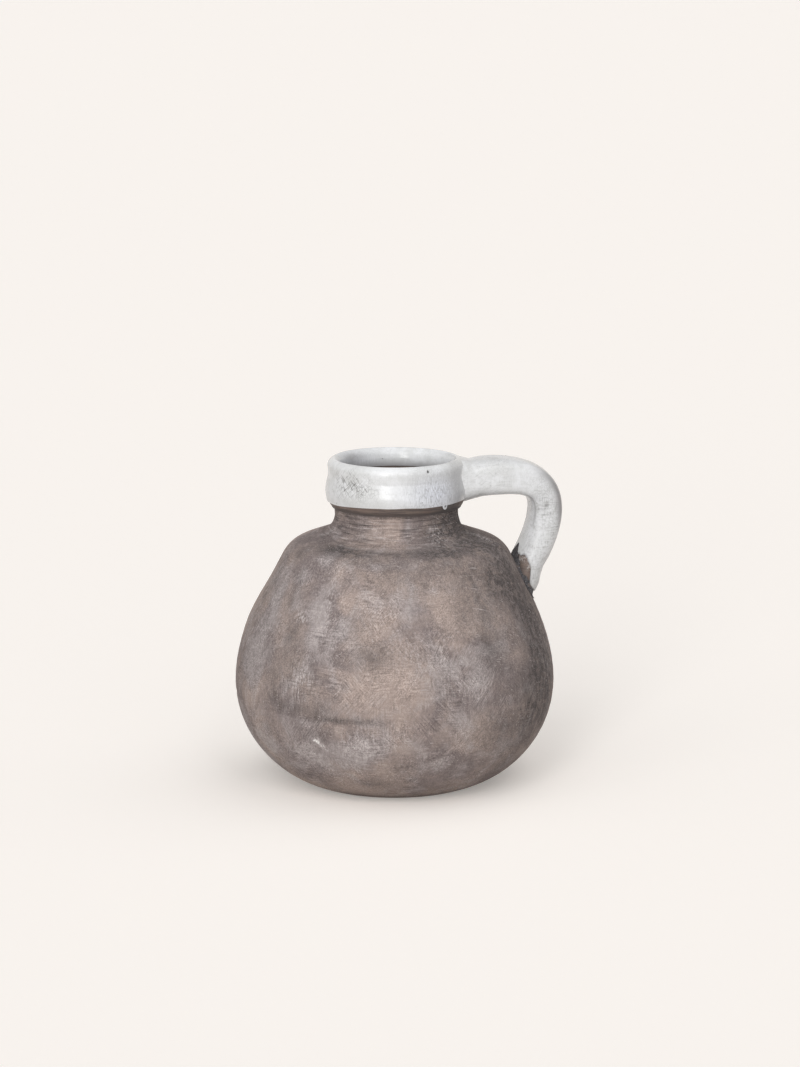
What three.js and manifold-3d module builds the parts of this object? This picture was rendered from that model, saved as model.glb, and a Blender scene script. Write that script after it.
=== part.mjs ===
// A hand-thrown one-handled jug vase of grey-washed terracotta.
// Millimetres, +Z up, origin on the jug's axis in the plane of its flat foot, handle towards +X.
// The bowl, the dome and the neck are thrown rings of clay that are luted together,
// a rolled collar closes the neck, and a pulled handle runs from the collar down to the dome.
// Collar and handle carry a thick white glaze, modelled as a coat of its own over the clay.

import * as THREE from "three";
import { mergeVertices } from "three/addons/utils/BufferGeometryUtils.js";
import Module from "manifold-3d";

const wasm = await Module();
wasm.setup();

// Thrown body. Heights stack up: each is given from the one under it.
const FOOT_RADIUS = 50;
const BELLY_RADIUS = 97.3;
const BELLY_HEIGHT = 63;
const BOWL_CLOSES_BELOW_FOOT = 3;
const GIRTH_SEAM_BELOW_BELLY = 6.5;
const FLANK_SLOPE = 0.56;
const SHOULDER_RADIUS = 66;
const SHOULDER_ABOVE_BELLY = 84.6;
const SHOULDER_ROUNDING = 7;
const NECK_SEAM_ABOVE_SHOULDER = 7.4;
const NECK_ROOT_ABOVE_SHOULDER = 10;
const NECK_ROOT_ROUNDING = 8.5;
const NECK_RADIUS = 38;
const NECK_TALL = 12.7;
const WALL = 7;
const FLOOR = 8;
const FLOOR_ROUNDING = 9;

const SHOULDER_HEIGHT = BELLY_HEIGHT + SHOULDER_ABOVE_BELLY;
const GIRTH_SEAM_HEIGHT = BELLY_HEIGHT - GIRTH_SEAM_BELOW_BELLY;
const NECK_SEAM_HEIGHT = SHOULDER_HEIGHT + NECK_SEAM_ABOVE_SHOULDER;
const NECK_ROOT_HEIGHT = SHOULDER_HEIGHT + NECK_ROOT_ABOVE_SHOULDER;

// Collar: heights above its seat on the neck, and depths below its rim
const COLLAR_TALL = 29.7;
const COLLAR_OVERHANG = 2.2;
const COLLAR_SHOULDER_RADIUS = 41.7;
const COLLAR_SHOULDER_ABOVE_SEAT = 2.5;
const COLLAR_BULGE_RADIUS = 43.2;
const COLLAR_BULGE_ABOVE_SEAT = 10.2;
const COLLAR_BAND_RADIUS = 41.2;
const COLLAR_BAND_BELOW_RIM = 9.5;
const LIP_CREST_RADIUS = 37.6;
const LIP_DEPTH = 3;
const LIP_INSIDE_DEPTH = 4.5;
const MOUTH_RADIUS = 33;
const LIP_SPLAY = 0.5;

const COLLAR_SEAT_HEIGHT = NECK_ROOT_HEIGHT + NECK_TALL;
const RIM_HEIGHT = COLLAR_SEAT_HEIGHT + COLLAR_TALL;

// Handle: depths of its centreline, reaches from the jug's axis, half sizes of its section, and
// shares without unit
const HANDLE_TOP_BELOW_RIM = 15.5;
const HANDLE_CROWN_BELOW_RIM = 12.4;
const HANDLE_CROWN_REACH = 65;
const HANDLE_REACH = 91.7;
const HANDLE_BEND_BELOW_CROWN = 19.6;
const HANDLE_ROOT_BELOW_SHOULDER = 22;
const HANDLE_ROOT_LEAN = 20;
const HANDLE_ARM_DEEP = 12.5;
const HANDLE_BEND_DEEP = 10.1;
const HANDLE_TIP_DEEP = 11;
const HANDLE_WIDE = 14;
const HANDLE_TIP_WIDE = 16;
const HANDLE_FLARE = 1;
const HANDLE_FLARE_RUN = 12;
const HANDLE_SQUARENESS = 2.8;
const ROOT_RUN_ON = 20;
const BLUNT_END = 0.4;
const CROWN_FULLNESS = 0.68;
const BEND_FULLNESS = 0.66;
const SLIMMEST_SHARE = 0.55;

const HANDLE_TOP_HEIGHT = RIM_HEIGHT - HANDLE_TOP_BELOW_RIM;
const HANDLE_CROWN_HEIGHT = RIM_HEIGHT - HANDLE_CROWN_BELOW_RIM;
const HANDLE_BEND_HEIGHT = HANDLE_CROWN_HEIGHT - HANDLE_BEND_BELOW_CROWN;
const HANDLE_ROOT_HEIGHT = SHOULDER_HEIGHT - HANDLE_ROOT_BELOW_SHOULDER;

// Wad of clay under the handle's lower end, as half sizes
const PAD_ABOVE_ROOT = 3.5;
const PAD_LONG = 15.5;
const PAD_WIDE = 17.5;
const PAD_THICK = 3.5;

const PAD_HEIGHT = HANDLE_ROOT_HEIGHT + PAD_ABOVE_ROOT;

// Glaze
const GLAZE_THICKNESS = 0.8;
const OUTER_GLAZE_ABOVE_SEAT = 4.5;
const INNER_GLAZE_BELOW_RIM = 11;
const BARE_ROOT = 3;

// Fits
const JOINT_GAP = 0.3;
const GLAZE_OFFSET = GLAZE_THICKNESS + JOINT_GAP;

// Marks of the hand: the thrown rings are a little oval and stand a little off the axis.
const BELLY_OVAL = 0.6;
const BELLY_OVAL_TURN = 0.5;
const RIM_OVAL = 0.5;
const NECK_DRIFT = 1.1;
const NECK_DRIFT_SPREAD = 22;

// Fineness: steps of the faceted solids, and of the smooth lines that they are cut from
const TURN_STEPS = 48;
const BOWL_STEPS = 10;
const BOWL_INSIDE_STEPS = 6;
const DOME_STEPS = 13;
const NECK_STEPS = 5;
const COLLAR_OUTSIDE_STEPS = 10;
const COLLAR_INSIDE_STEPS = 5;
const HANDLE_STEPS = 26;
const HANDLE_SIDES = 16;
const PAD_SIDES = 20;
const PAD_ROWS = 12;
const FINE_STEPS = 60;

const CLAY = { color: "#8d807b", roughness: 0.92, metalness: 0 };
const BARE_CLAY = { color: "#80706a", roughness: 0.7, metalness: 0 };
const DARK_SLIP = { color: "#5d5855", roughness: 0.95, metalness: 0 };
const WHITE_GLAZE = { color: "#dedfdd", roughness: 0.18, metalness: 0 };

const point = (radius, height) => new THREE.Vector2(radius, height);

// How far the jug stands off its axis at a height: a smooth hump centred on the neck's seam.
function driftAt(height) {
  const away = (height - NECK_SEAM_HEIGHT) / NECK_DRIFT_SPREAD;
  return NECK_DRIFT * Math.exp(-away * away);
}

// Where a point of an ideal turned form really lies on the hand-made one.
function thrown(radius, angle, height) {
  const rise = THREE.MathUtils.smoothstep(height, BELLY_HEIGHT, RIM_HEIGHT);
  const belly = BELLY_OVAL * (1 - rise) * Math.cos(2 * angle - BELLY_OVAL_TURN);
  const rim = RIM_OVAL * rise * Math.cos(3 * angle);
  const share = (belly + rim) / BELLY_RADIUS;
  const real = radius * (1 + share);
  return [real * Math.cos(angle) + driftAt(height), real * Math.sin(angle), height];
}

// A quadratic curve that rounds the corner between two straight runs.
function roundedCorner(before, corner, after, rounding) {
  const start = corner.clone().add(before.clone().sub(corner).setLength(rounding));
  const end = corner.clone().add(after.clone().sub(corner).setLength(rounding));
  return new THREE.QuadraticBezierCurve(start, corner, end);
}

// The bowl swells from the foot to the belly as part of an ellipse.
function bowlLine() {
  const depth = BELLY_HEIGHT + BOWL_CLOSES_BELOW_FOOT;
  const shareAtFoot = Math.sqrt(1 - (BELLY_HEIGHT / depth) ** 2);
  const spread = (BELLY_RADIUS - FOOT_RADIUS) / (1 - shareAtFoot);
  const line = [];
  for (let i = 0; i <= FINE_STEPS; i++) {
    const height = (BELLY_HEIGHT * i) / FINE_STEPS;
    const share = Math.sqrt(1 - ((BELLY_HEIGHT - height) / depth) ** 2);
    line.push(point(BELLY_RADIUS - spread * (1 - share), height));
  }
  return line;
}

// The whole outside of the body in profile, from the foot to the collar's seat, as a fine line.
function outsideLine() {
  const third = (SHOULDER_HEIGHT - BELLY_HEIGHT) / 3;
  const belly = point(BELLY_RADIUS, BELLY_HEIGHT);
  const shoulder = point(SHOULDER_RADIUS, SHOULDER_HEIGHT);
  const neckRoot = point(NECK_RADIUS, NECK_ROOT_HEIGHT);
  const neckTop = point(NECK_RADIUS, COLLAR_SEAT_HEIGHT);
  const flank = new THREE.CubicBezierCurve(
    belly,
    point(BELLY_RADIUS, BELLY_HEIGHT + third),
    point(SHOULDER_RADIUS + FLANK_SLOPE * third, SHOULDER_HEIGHT - third),
    shoulder,
  );
  const kept = flank.getPoints(FINE_STEPS).filter((p) => p.distanceTo(shoulder) > SHOULDER_ROUNDING);
  const shoulderCurve = roundedCorner(kept[kept.length - 1], shoulder, neckRoot, SHOULDER_ROUNDING);
  const neckCurve = roundedCorner(shoulder, neckRoot, neckTop, NECK_ROOT_ROUNDING);
  return [
    ...bowlLine(),
    ...kept.slice(1),
    ...shoulderCurve.getPoints(FINE_STEPS),
    ...neckCurve.getPoints(FINE_STEPS),
    neckTop,
  ];
}

// A line moved sideways by a distance, to the left of its run.
function movedSideways(line, distance) {
  return line.map((p, i) => {
    const before = line[Math.max(i - 1, 0)];
    const after = line[Math.min(i + 1, line.length - 1)];
    const run = after.clone().sub(before).normalize();
    return point(p.x - run.y * distance, p.y + run.x * distance);
  });
}

// Radius of a rising line at a height.
function radiusAt(line, height) {
  const i = Math.max(1, line.findIndex((p) => p.y >= height));
  const share = (height - line[i - 1].y) / (line[i].y - line[i - 1].y);
  return THREE.MathUtils.lerp(line[i - 1].x, line[i].x, share);
}

// The stretch of a rising line between two heights, in evenly long steps.
function stretch(line, low, high, steps) {
  const inside = line.filter((p) => p.y > low && p.y < high);
  const ends = [point(radiusAt(line, low), low), point(radiusAt(line, high), high)];
  const fine = [ends[0], ...inside, ends[1]];
  const along = [0];
  for (let i = 1; i < fine.length; i++) along.push(along[i - 1] + fine[i].distanceTo(fine[i - 1]));
  const result = [];
  for (let k = 0; k <= steps; k++) {
    const target = (along[along.length - 1] * k) / steps;
    const i = Math.max(1, along.findIndex((d) => d >= target - 1e-9));
    const share = (target - along[i - 1]) / (along[i] - along[i - 1]);
    result.push(fine[i - 1].clone().lerp(fine[i], share));
  }
  return result;
}

const OUTSIDE = outsideLine();
const INSIDE = movedSideways(OUTSIDE, WALL);
const NECK_BORE = radiusAt(INSIDE, NECK_SEAM_HEIGHT + NECK_ROOT_ROUNDING);

// A closed profile turned about the axis. It runs anticlockwise, with the axis on its left or inside.
function turned(profile) {
  const onAxis = profile.map((p) => p.x < 1e-6);
  const positions = [];
  const rows = profile.map((p, i) => {
    const first = positions.length / 3;
    const count = onAxis[i] ? 1 : TURN_STEPS;
    for (let k = 0; k < count; k++) {
      positions.push(...thrown(p.x, (2 * Math.PI * k) / TURN_STEPS, p.y));
    }
    return (k) => first + (onAxis[i] ? 0 : k % TURN_STEPS);
  });
  const faces = [];
  rows.forEach((row, i) => {
    const next = rows[(i + 1) % rows.length];
    const flat = onAxis[i] && onAxis[(i + 1) % rows.length];
    for (let k = 0; k < TURN_STEPS && !flat; k++) {
      if (!onAxis[i]) faces.push(row(k), row(k + 1), next(k));
      if (!onAxis[(i + 1) % rows.length]) faces.push(row(k + 1), next(k + 1), next(k));
    }
  });
  return solidFrom(positions, faces);
}

// A solid from its corners and its triangles.
function solidFrom(positions, faces) {
  const geometry = new THREE.BufferGeometry();
  geometry.setAttribute("position", new THREE.Float32BufferAttribute(positions, 3));
  geometry.setIndex(Array.from(faces));
  const merged = mergeVertices(geometry, 1e-4);
  return new wasm.Manifold(
    new wasm.Mesh({
      numProp: 3,
      vertProperties: new Float32Array(merged.attributes.position.array),
      triVerts: new Uint32Array(merged.index.array),
    }),
  );
}

// The body and neck filled and grown by a gap, for cutting what leans on them. Up to the neck's
// seam its steps are those of the dome.
function filledBody(gap) {
  const grown = movedSideways(OUTSIDE, -gap);
  return turned([
    point(0, GIRTH_SEAM_HEIGHT),
    ...stretch(grown, GIRTH_SEAM_HEIGHT, NECK_SEAM_HEIGHT, DOME_STEPS),
    ...stretch(grown, NECK_SEAM_HEIGHT, COLLAR_SEAT_HEIGHT, NECK_STEPS).slice(1),
    point(0, COLLAR_SEAT_HEIGHT),
  ]);
}

// The bowl: the flat foot, the floor and the wall up to the girth seam.
function bowl() {
  const top = GIRTH_SEAM_HEIGHT;
  const floorEdge = radiusAt(INSIDE, FLOOR + FLOOR_ROUNDING);
  const corner = new THREE.QuadraticBezierCurve(
    point(floorEdge, FLOOR + FLOOR_ROUNDING),
    point(radiusAt(INSIDE, FLOOR + 1), FLOOR),
    point(floorEdge - 2 * FLOOR_ROUNDING, FLOOR),
  );
  return turned([
    point(0, 0),
    ...stretch(OUTSIDE, 0, top, BOWL_STEPS),
    ...stretch(INSIDE, FLOOR + FLOOR_ROUNDING, top, BOWL_INSIDE_STEPS).reverse(),
    ...corner.getPoints(4).slice(1),
    point(0, FLOOR),
  ]);
}

// A ring of the body's wall between two heights.
function wallRing(low, high, steps) {
  return turned([
    ...stretch(OUTSIDE, low, high, steps),
    ...stretch(INSIDE, low, high, steps).reverse(),
  ]);
}

// The collar's section as the glaze shows it, from its seat outside, over the lip, and down inside.
function collarSection() {
  const curve = new THREE.SplineCurve([
    point(NECK_RADIUS + COLLAR_OVERHANG, COLLAR_SEAT_HEIGHT),
    point(COLLAR_SHOULDER_RADIUS, COLLAR_SEAT_HEIGHT + COLLAR_SHOULDER_ABOVE_SEAT),
    point(COLLAR_BULGE_RADIUS, COLLAR_SEAT_HEIGHT + COLLAR_BULGE_ABOVE_SEAT),
    point(COLLAR_BAND_RADIUS, RIM_HEIGHT - COLLAR_BAND_BELOW_RIM),
    point(COLLAR_BAND_RADIUS, RIM_HEIGHT - LIP_DEPTH),
    point(LIP_CREST_RADIUS, RIM_HEIGHT),
    point(MOUTH_RADIUS + LIP_SPLAY, RIM_HEIGHT - LIP_INSIDE_DEPTH),
    point(MOUTH_RADIUS, RIM_HEIGHT - COLLAR_BAND_BELOW_RIM),
    point(NECK_BORE, COLLAR_SEAT_HEIGHT),
  ]);
  return curve.getPoints(FINE_STEPS * 2);
}

// A section of the collar split at its highest point into its outside and its inside, both rising.
function sides(section) {
  const crest = section.reduce((best, p, i) => (p.y > section[best].y ? i : best), 0);
  return [section.slice(0, crest + 1), section.slice(crest).reverse()];
}

// A section of the collar from one height outside, over the lip, to another height inside.
function overTheLip(section, lowOutside, lowInside) {
  const [outside, inside] = sides(section);
  const top = outside[outside.length - 1].y;
  return [
    ...stretch(outside, lowOutside, top, COLLAR_OUTSIDE_STEPS),
    ...stretch(inside, lowInside, top, COLLAR_INSIDE_STEPS).reverse().slice(1),
  ];
}

// The clay of the collar, which stands on the neck.
function collarClay() {
  const section = movedSideways(collarSection(), GLAZE_OFFSET);
  return turned(overTheLip(section, COLLAR_SEAT_HEIGHT, COLLAR_SEAT_HEIGHT));
}

// The coat of glaze on the collar.
function collarGlazeCoat() {
  const lowOutside = COLLAR_SEAT_HEIGHT + OUTER_GLAZE_ABOVE_SEAT;
  const lowInside = RIM_HEIGHT - INNER_GLAZE_BELOW_RIM;
  const outer = overTheLip(collarSection(), lowOutside, lowInside);
  const inner = movedSideways(outer, GLAZE_THICKNESS);
  return turned([...outer, ...inner.reverse()]);
}

// The collar with its mouth filled, moved in or out by a distance, for cutting the handle.
function filledCollar(outwards) {
  const [outside] = sides(movedSideways(collarSection(), -outwards));
  const low = outside[0].y;
  const high = outside[outside.length - 1].y;
  return turned([
    point(0, low),
    ...stretch(outside, low, high, 2 * COLLAR_OUTSIDE_STEPS),
    point(0, high),
  ]);
}

// The handle's centreline: level out of the collar, over the crown, and down to the dome.
function handleLine() {
  const start = new THREE.Vector3(COLLAR_BAND_RADIUS - HANDLE_FLARE_RUN / 2, 0, HANDLE_TOP_HEIGHT);
  const crown = new THREE.Vector3(HANDLE_CROWN_REACH, 0, HANDLE_CROWN_HEIGHT);
  const bend = new THREE.Vector3(HANDLE_REACH, 0, HANDLE_BEND_HEIGHT);
  const rootRadius = radiusAt(OUTSIDE, HANDLE_ROOT_HEIGHT);
  const root = new THREE.Vector3(rootRadius, 0, HANDLE_ROOT_HEIGHT);
  const outFromCrown = (HANDLE_REACH - HANDLE_CROWN_REACH) * CROWN_FULLNESS;
  const upFromBend = (HANDLE_CROWN_HEIGHT - HANDLE_BEND_HEIGHT) * BEND_FULLNESS;
  const fall = (HANDLE_BEND_HEIGHT - HANDLE_ROOT_HEIGHT) / 3;
  const path = new THREE.CurvePath();
  path.add(
    new THREE.CubicBezierCurve3(
      start,
      new THREE.Vector3(start.x + outFromCrown, 0, HANDLE_TOP_HEIGHT),
      new THREE.Vector3(crown.x - outFromCrown, 0, HANDLE_CROWN_HEIGHT),
      crown,
    ),
  );
  path.add(
    new THREE.CubicBezierCurve3(
      crown,
      new THREE.Vector3(crown.x + outFromCrown, 0, HANDLE_CROWN_HEIGHT),
      new THREE.Vector3(HANDLE_REACH, 0, HANDLE_BEND_HEIGHT + upFromBend),
      bend,
    ),
  );
  const lean = new THREE.Vector3(Math.sin(THREE.MathUtils.degToRad(HANDLE_ROOT_LEAN)), 0, 0);
  lean.z = Math.cos(THREE.MathUtils.degToRad(HANDLE_ROOT_LEAN));
  path.add(
    new THREE.CubicBezierCurve3(
      bend,
      new THREE.Vector3(HANDLE_REACH, 0, HANDLE_BEND_HEIGHT - fall),
      root.clone().addScaledVector(lean, fall),
      root,
    ),
  );
  return path;
}

// Half the handle's thickness and half its width at a share of its length. It flares where it
// leaves the collar, slims towards the bend and swells again to its root.
function handleSection(share, length) {
  const flare = HANDLE_FLARE * Math.max(0, 1 - (share * length) / HANDLE_FLARE_RUN);
  const slimming = THREE.MathUtils.smoothstep(share, 0, SLIMMEST_SHARE);
  const swelling = THREE.MathUtils.smoothstep(share, SLIMMEST_SHARE, 1);
  const arm = THREE.MathUtils.lerp(HANDLE_ARM_DEEP + flare, HANDLE_BEND_DEEP, slimming);
  return {
    deep: THREE.MathUtils.lerp(arm, HANDLE_TIP_DEEP, swelling),
    wide: THREE.MathUtils.lerp(HANDLE_WIDE + flare, HANDLE_TIP_WIDE, swelling),
  };
}

// The handle's outer form, grown or shrunk by a distance. It starts inside the collar and runs on
// past its root into the body, closing to a blunt end, so that both can cut it.
function handleForm(grow) {
  const path = handleLine();
  const length = path.getLength();
  const positions = [];
  for (let i = 0; i <= HANDLE_STEPS; i++) {
    const distance = ((length + ROOT_RUN_ON) * i) / HANDLE_STEPS;
    const share = Math.min(distance / length, 1);
    const along = path.getTangentAt(share);
    const middle = path.getPointAt(share).addScaledVector(along, distance - share * length);
    const inwards = new THREE.Vector3(along.z, 0, -along.x);
    const { deep, wide } = handleSection(share, length);
    const beyond = (distance - share * length) / ROOT_RUN_ON;
    const closing = Math.max(Math.sqrt(Math.max(1 - beyond * beyond, 0)), BLUNT_END);
    for (let k = 0; k < HANDLE_SIDES; k++) {
      const angle = (2 * Math.PI * k) / HANDLE_SIDES;
      const c = rounded(Math.cos(angle)) * (deep * closing + grow);
      const s = rounded(Math.sin(angle)) * (wide + grow);
      const corner = middle.clone().addScaledVector(inwards, c);
      positions.push(corner.x + driftAt(corner.z), s, corner.z);
    }
  }
  const at = (i, k) => i * HANDLE_SIDES + (k % HANDLE_SIDES);
  const faces = [];
  for (let i = 0; i < HANDLE_STEPS; i++) {
    for (let k = 0; k < HANDLE_SIDES; k++) {
      faces.push(at(i, k), at(i, k + 1), at(i + 1, k));
      faces.push(at(i, k + 1), at(i + 1, k + 1), at(i + 1, k));
    }
  }
  for (let k = 1; k < HANDLE_SIDES - 1; k++) {
    faces.push(at(0, 0), at(0, k + 1), at(0, k));
    faces.push(at(HANDLE_STEPS, 0), at(HANDLE_STEPS, k), at(HANDLE_STEPS, k + 1));
  }
  return solidFrom(positions, faces);
}

// A sine or cosine bent so that the section is a squarish oval.
function rounded(value) {
  return Math.sign(value) * Math.abs(value) ** (2 / HANDLE_SQUARENESS);
}

// The wad of clay pressed between the handle's end and the dome: a lens on the flank.
function padForm(grow) {
  const ball = new THREE.SphereGeometry(1, PAD_SIDES, PAD_ROWS);
  ball.deleteAttribute("normal");
  ball.deleteAttribute("uv");
  ball.scale(PAD_LONG + grow, PAD_WIDE + grow, PAD_THICK + grow);
  const above = radiusAt(OUTSIDE, PAD_HEIGHT + 1);
  const below = radiusAt(OUTSIDE, PAD_HEIGHT - 1);
  ball.rotateY(-Math.atan2(2, above - below));
  ball.translate((above + below) / 2 + driftAt(PAD_HEIGHT), 0, PAD_HEIGHT);
  return solidFrom(ball.attributes.position.array, ball.index.array);
}

const handleCore = handleForm(-GLAZE_OFFSET)
  .subtract(filledCollar(JOINT_GAP - GLAZE_OFFSET))
  .subtract(padForm(JOINT_GAP))
  .subtract(filledBody(JOINT_GAP));
const handlePad = padForm(0).subtract(filledBody(JOINT_GAP));
const handleCoat = handleForm(0)
  .subtract(handleForm(-GLAZE_THICKNESS))
  .subtract(filledCollar(JOINT_GAP))
  .subtract(padForm(JOINT_GAP))
  .subtract(filledBody(BARE_ROOT));
const collarCoat = collarGlazeCoat().subtract(handleForm(-GLAZE_THICKNESS));

// A named mesh from a solid.
function piece(name, solid, finish) {
  const { vertProperties, triVerts } = solid.getMesh();
  const geometry = new THREE.BufferGeometry();
  geometry.setAttribute("position", new THREE.BufferAttribute(vertProperties, 3));
  geometry.setIndex(new THREE.BufferAttribute(triVerts, 1));
  geometry.computeVertexNormals();
  const mesh = new THREE.Mesh(geometry, new THREE.MeshStandardMaterial(finish));
  mesh.name = name;
  return mesh;
}

const jug = new THREE.Group();
jug.add(piece("lower_bowl", bowl(), CLAY));
jug.add(piece("upper_dome", wallRing(GIRTH_SEAM_HEIGHT, NECK_SEAM_HEIGHT, DOME_STEPS), CLAY));
jug.add(piece("neck", wallRing(NECK_SEAM_HEIGHT, COLLAR_SEAT_HEIGHT, NECK_STEPS), CLAY));
jug.add(piece("rim_collar", collarClay(), BARE_CLAY));
jug.add(piece("collar_glaze", collarCoat, WHITE_GLAZE));
jug.add(piece("handle", handleCore, BARE_CLAY));
jug.add(piece("handle_glaze", handleCoat, WHITE_GLAZE));
jug.add(piece("handle_pad", handlePad, DARK_SLIP));

export default jug;
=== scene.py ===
"""Dresses the packed frame of a hand-thrown, one-handled jug vase of washed terracotta.

Metres, in the frame's own axes: +Z up the jug's axis, +X towards the handle, -Y towards the
photographed side. The clay body is turned in three rings, a rolled collar closes the neck, a
pulled strap handle runs from the collar to the dome, and collar and handle wear a white glaze.
"""

import math
from functools import partial, reduce

import bpy
import numpy as np
from bpy.props import FloatProperty, PointerProperty, StringProperty
from mathutils import Matrix, Vector


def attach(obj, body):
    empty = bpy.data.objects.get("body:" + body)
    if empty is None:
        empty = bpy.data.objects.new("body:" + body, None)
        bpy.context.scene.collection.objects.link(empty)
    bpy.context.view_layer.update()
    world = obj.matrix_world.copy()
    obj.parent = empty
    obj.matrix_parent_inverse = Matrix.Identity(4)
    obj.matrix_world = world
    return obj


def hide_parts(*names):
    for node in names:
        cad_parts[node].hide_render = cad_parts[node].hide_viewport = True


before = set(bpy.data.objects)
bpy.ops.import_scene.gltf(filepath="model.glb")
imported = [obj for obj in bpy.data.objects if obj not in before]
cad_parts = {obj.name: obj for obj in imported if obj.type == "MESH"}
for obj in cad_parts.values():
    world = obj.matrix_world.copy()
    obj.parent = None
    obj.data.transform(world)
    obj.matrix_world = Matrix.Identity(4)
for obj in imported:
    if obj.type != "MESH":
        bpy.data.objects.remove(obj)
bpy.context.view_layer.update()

bl_info = {
    "name": "Glazed terracotta jug vase",
    "version": (1, 0, 0),
    "blender": (4, 5, 0),
    "location": "3D View > Sidebar > Jug vase",
    "description": "Builds a thrown jug vase of washed terracotta with a crackle-glazed collar and handle",
    "category": "Object",
}

MM = 0.001
RIM_HEIGHT = 0.200


# ---- Sizes and colours that a user would change


def length(name, text, default):
    """A length property in metres."""
    return FloatProperty(name=name, description=text, default=default, min=0.0, unit="LENGTH", precision=4)


def share(name, text, default):
    """A property without unit."""
    return FloatProperty(name=name, description=text, default=default)


def shade(name, text, default):
    """An sRGB colour written as a hex string."""
    return StringProperty(name=name, description=text, default=default, maxlen=7)


class JugBodySizes(bpy.types.PropertyGroup):
    """Sizes of the thrown body, as in the part's own source, and of the marks of the hand on it."""

    foot_radius: length("Foot radius", "Radius of the flat foot", 0.050)
    belly_radius: length("Belly radius", "Radius at the widest line", 0.0973)
    belly_height: length("Belly height", "Height of the widest line", 0.063)
    closes_below: length("Closes below foot", "How far under the foot the bowl's ellipse closes", 0.003)
    girth_seam: length("Girth seam", "Height of the joint between bowl and dome", 0.0565)
    shoulder_radius: length("Shoulder radius", "Radius of the shoulder's corner", 0.066)
    shoulder_height: length("Shoulder height", "Height of the shoulder's corner", 0.1476)
    shoulder_rounding: length("Shoulder rounding", "Length that the shoulder is rounded over", 0.007)
    flank_slope: share("Flank slope", "Radius lost per height just under the shoulder", 0.56)
    neck_seam: length("Neck seam", "Height of the joint between dome and neck", 0.155)
    neck_root: length("Neck root", "Height of the corner under the neck", 0.1576)
    neck_rounding: length("Neck rounding", "Length that the neck's root is rounded over", 0.0085)
    neck_radius: length("Neck radius", "Radius of the neck", 0.038)
    neck_top: length("Neck top", "Height of the collar's seat", 0.1703)
    wall: length("Wall", "Thickness of the thrown wall", 0.007)
    floor: length("Floor", "Thickness of the floor", 0.008)
    floor_rounding: length("Floor rounding", "Radius where the floor meets the wall", 0.009)
    oval: length("Oval", "How far the belly is out of round", 0.0006)
    rim_oval: length("Rim oval", "How far the rim is out of round", 0.0005)
    dent: length("Dent", "Half the depth of the wall's wide dents", 0.0003)
    ring_spacing: length("Ring spacing", "Height between the finger rings", 0.0065)
    ring: length("Ring", "Depth of the rings on the body", 0.0001)
    neck_ring: length("Neck ring", "How much deeper they are on the neck", 0.00022)
    groove: length("Groove", "Depth of the groove in the girth seam", 0.00055)
    groove_wide: length("Groove half width", "Half the width of that groove", 0.0011)
    groove_wave: length("Groove wave", "How far the groove wanders up and down", 0.0007)
    drift: length("Drift", "How far the neck stands off the axis", 0.0011)
    drift_spread: length("Drift spread", "Height over which the drift fades", 0.022)


class JugCollarSizes(bpy.types.PropertyGroup):
    """Sizes of the rolled collar and of the glaze on it."""

    rim_height: length("Rim height", "Height of the lip's crest", RIM_HEIGHT)
    seat_radius: length("Seat radius", "Radius of the collar's lower edge", 0.0402)
    shoulder_radius: length("Shoulder radius", "Radius just above the lower edge", 0.0417)
    shoulder_height: length("Shoulder height", "Height of that radius", 0.1728)
    bulge_radius: length("Bulge radius", "Radius of the roll", 0.0432)
    bulge_height: length("Bulge height", "Height of the roll", 0.1805)
    band_radius: length("Band radius", "Radius of the band over the roll", 0.0412)
    band_height: length("Band height", "Height of the band", 0.1905)
    lip_radius: length("Lip radius", "Radius of the lip's crest", 0.0376)
    lip_depth: length("Lip depth", "Depth of the lip's rounding outside", 0.003)
    lip_inside: length("Lip inside", "Depth of the lip's rounding inside", 0.009)
    mouth_radius: length("Mouth radius", "Radius of the mouth", 0.033)
    glaze: length("Glaze", "Thickness of the glaze", 0.0008)
    glaze_line: length("Glaze line", "Height at which the glaze ends outside", 0.1750)
    inner_line: length("Inner line", "Height at which the glaze ends inside", 0.1890)


class JugHandleSizes(bpy.types.PropertyGroup):
    """Sizes of the pulled strap handle, along its centreline."""

    start_reach: length("Start reach", "Distance from the axis at which it leaves the collar", 0.0412)
    top_height: length("Top height", "Height at which it leaves the collar", 0.1845)
    crown_height: length("Crown height", "Height of its highest point", 0.1876)
    crown_reach: length("Crown reach", "Distance of that point from the axis", 0.065)
    reach: length("Reach", "Greatest distance from the axis", 0.0917)
    bend_height: length("Bend height", "Height of the greatest distance", 0.168)
    crown_full: share("Crown fullness", "Pull of the curve at the crown", 0.68)
    bend_full: share("Bend fullness", "Pull of the curve at the bend", 0.66)
    root_height: length("Root height", "Height at which it meets the dome", 0.1256)
    root_lean: share("Root lean", "Lean of its lower end, in degrees", 20.0)
    arm_deep: length("Arm depth", "Half its thickness at the collar", 0.0125)
    bend_deep: length("Bend depth", "Half its thickness at the bend", 0.0101)
    tip_deep: length("Tip depth", "Half its thickness at the dome", 0.011)
    wide: length("Half width", "Half its width", 0.014)
    tip_wide: length("Tip half width", "Half its width at the dome", 0.016)
    flare: length("Flare", "Growth where it meets the collar", 0.001)
    flare_run: length("Flare run", "Length of that growth", 0.012)
    fillet: length("Fillet", "Radius that the glaze fills between collar and handle", 0.003)
    collar_square: share("Squareness at collar", "Exponent of its squarish oval at the collar", 2.35)
    bend_square: share("Squareness at bend", "Exponent of its squarish oval at the bend", 4.0)
    tip_square: share("Squareness at dome", "Exponent of its squarish oval at the dome", 2.1)
    run_on: length("Run on", "Length that it runs on into the dome", 0.020)


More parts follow.
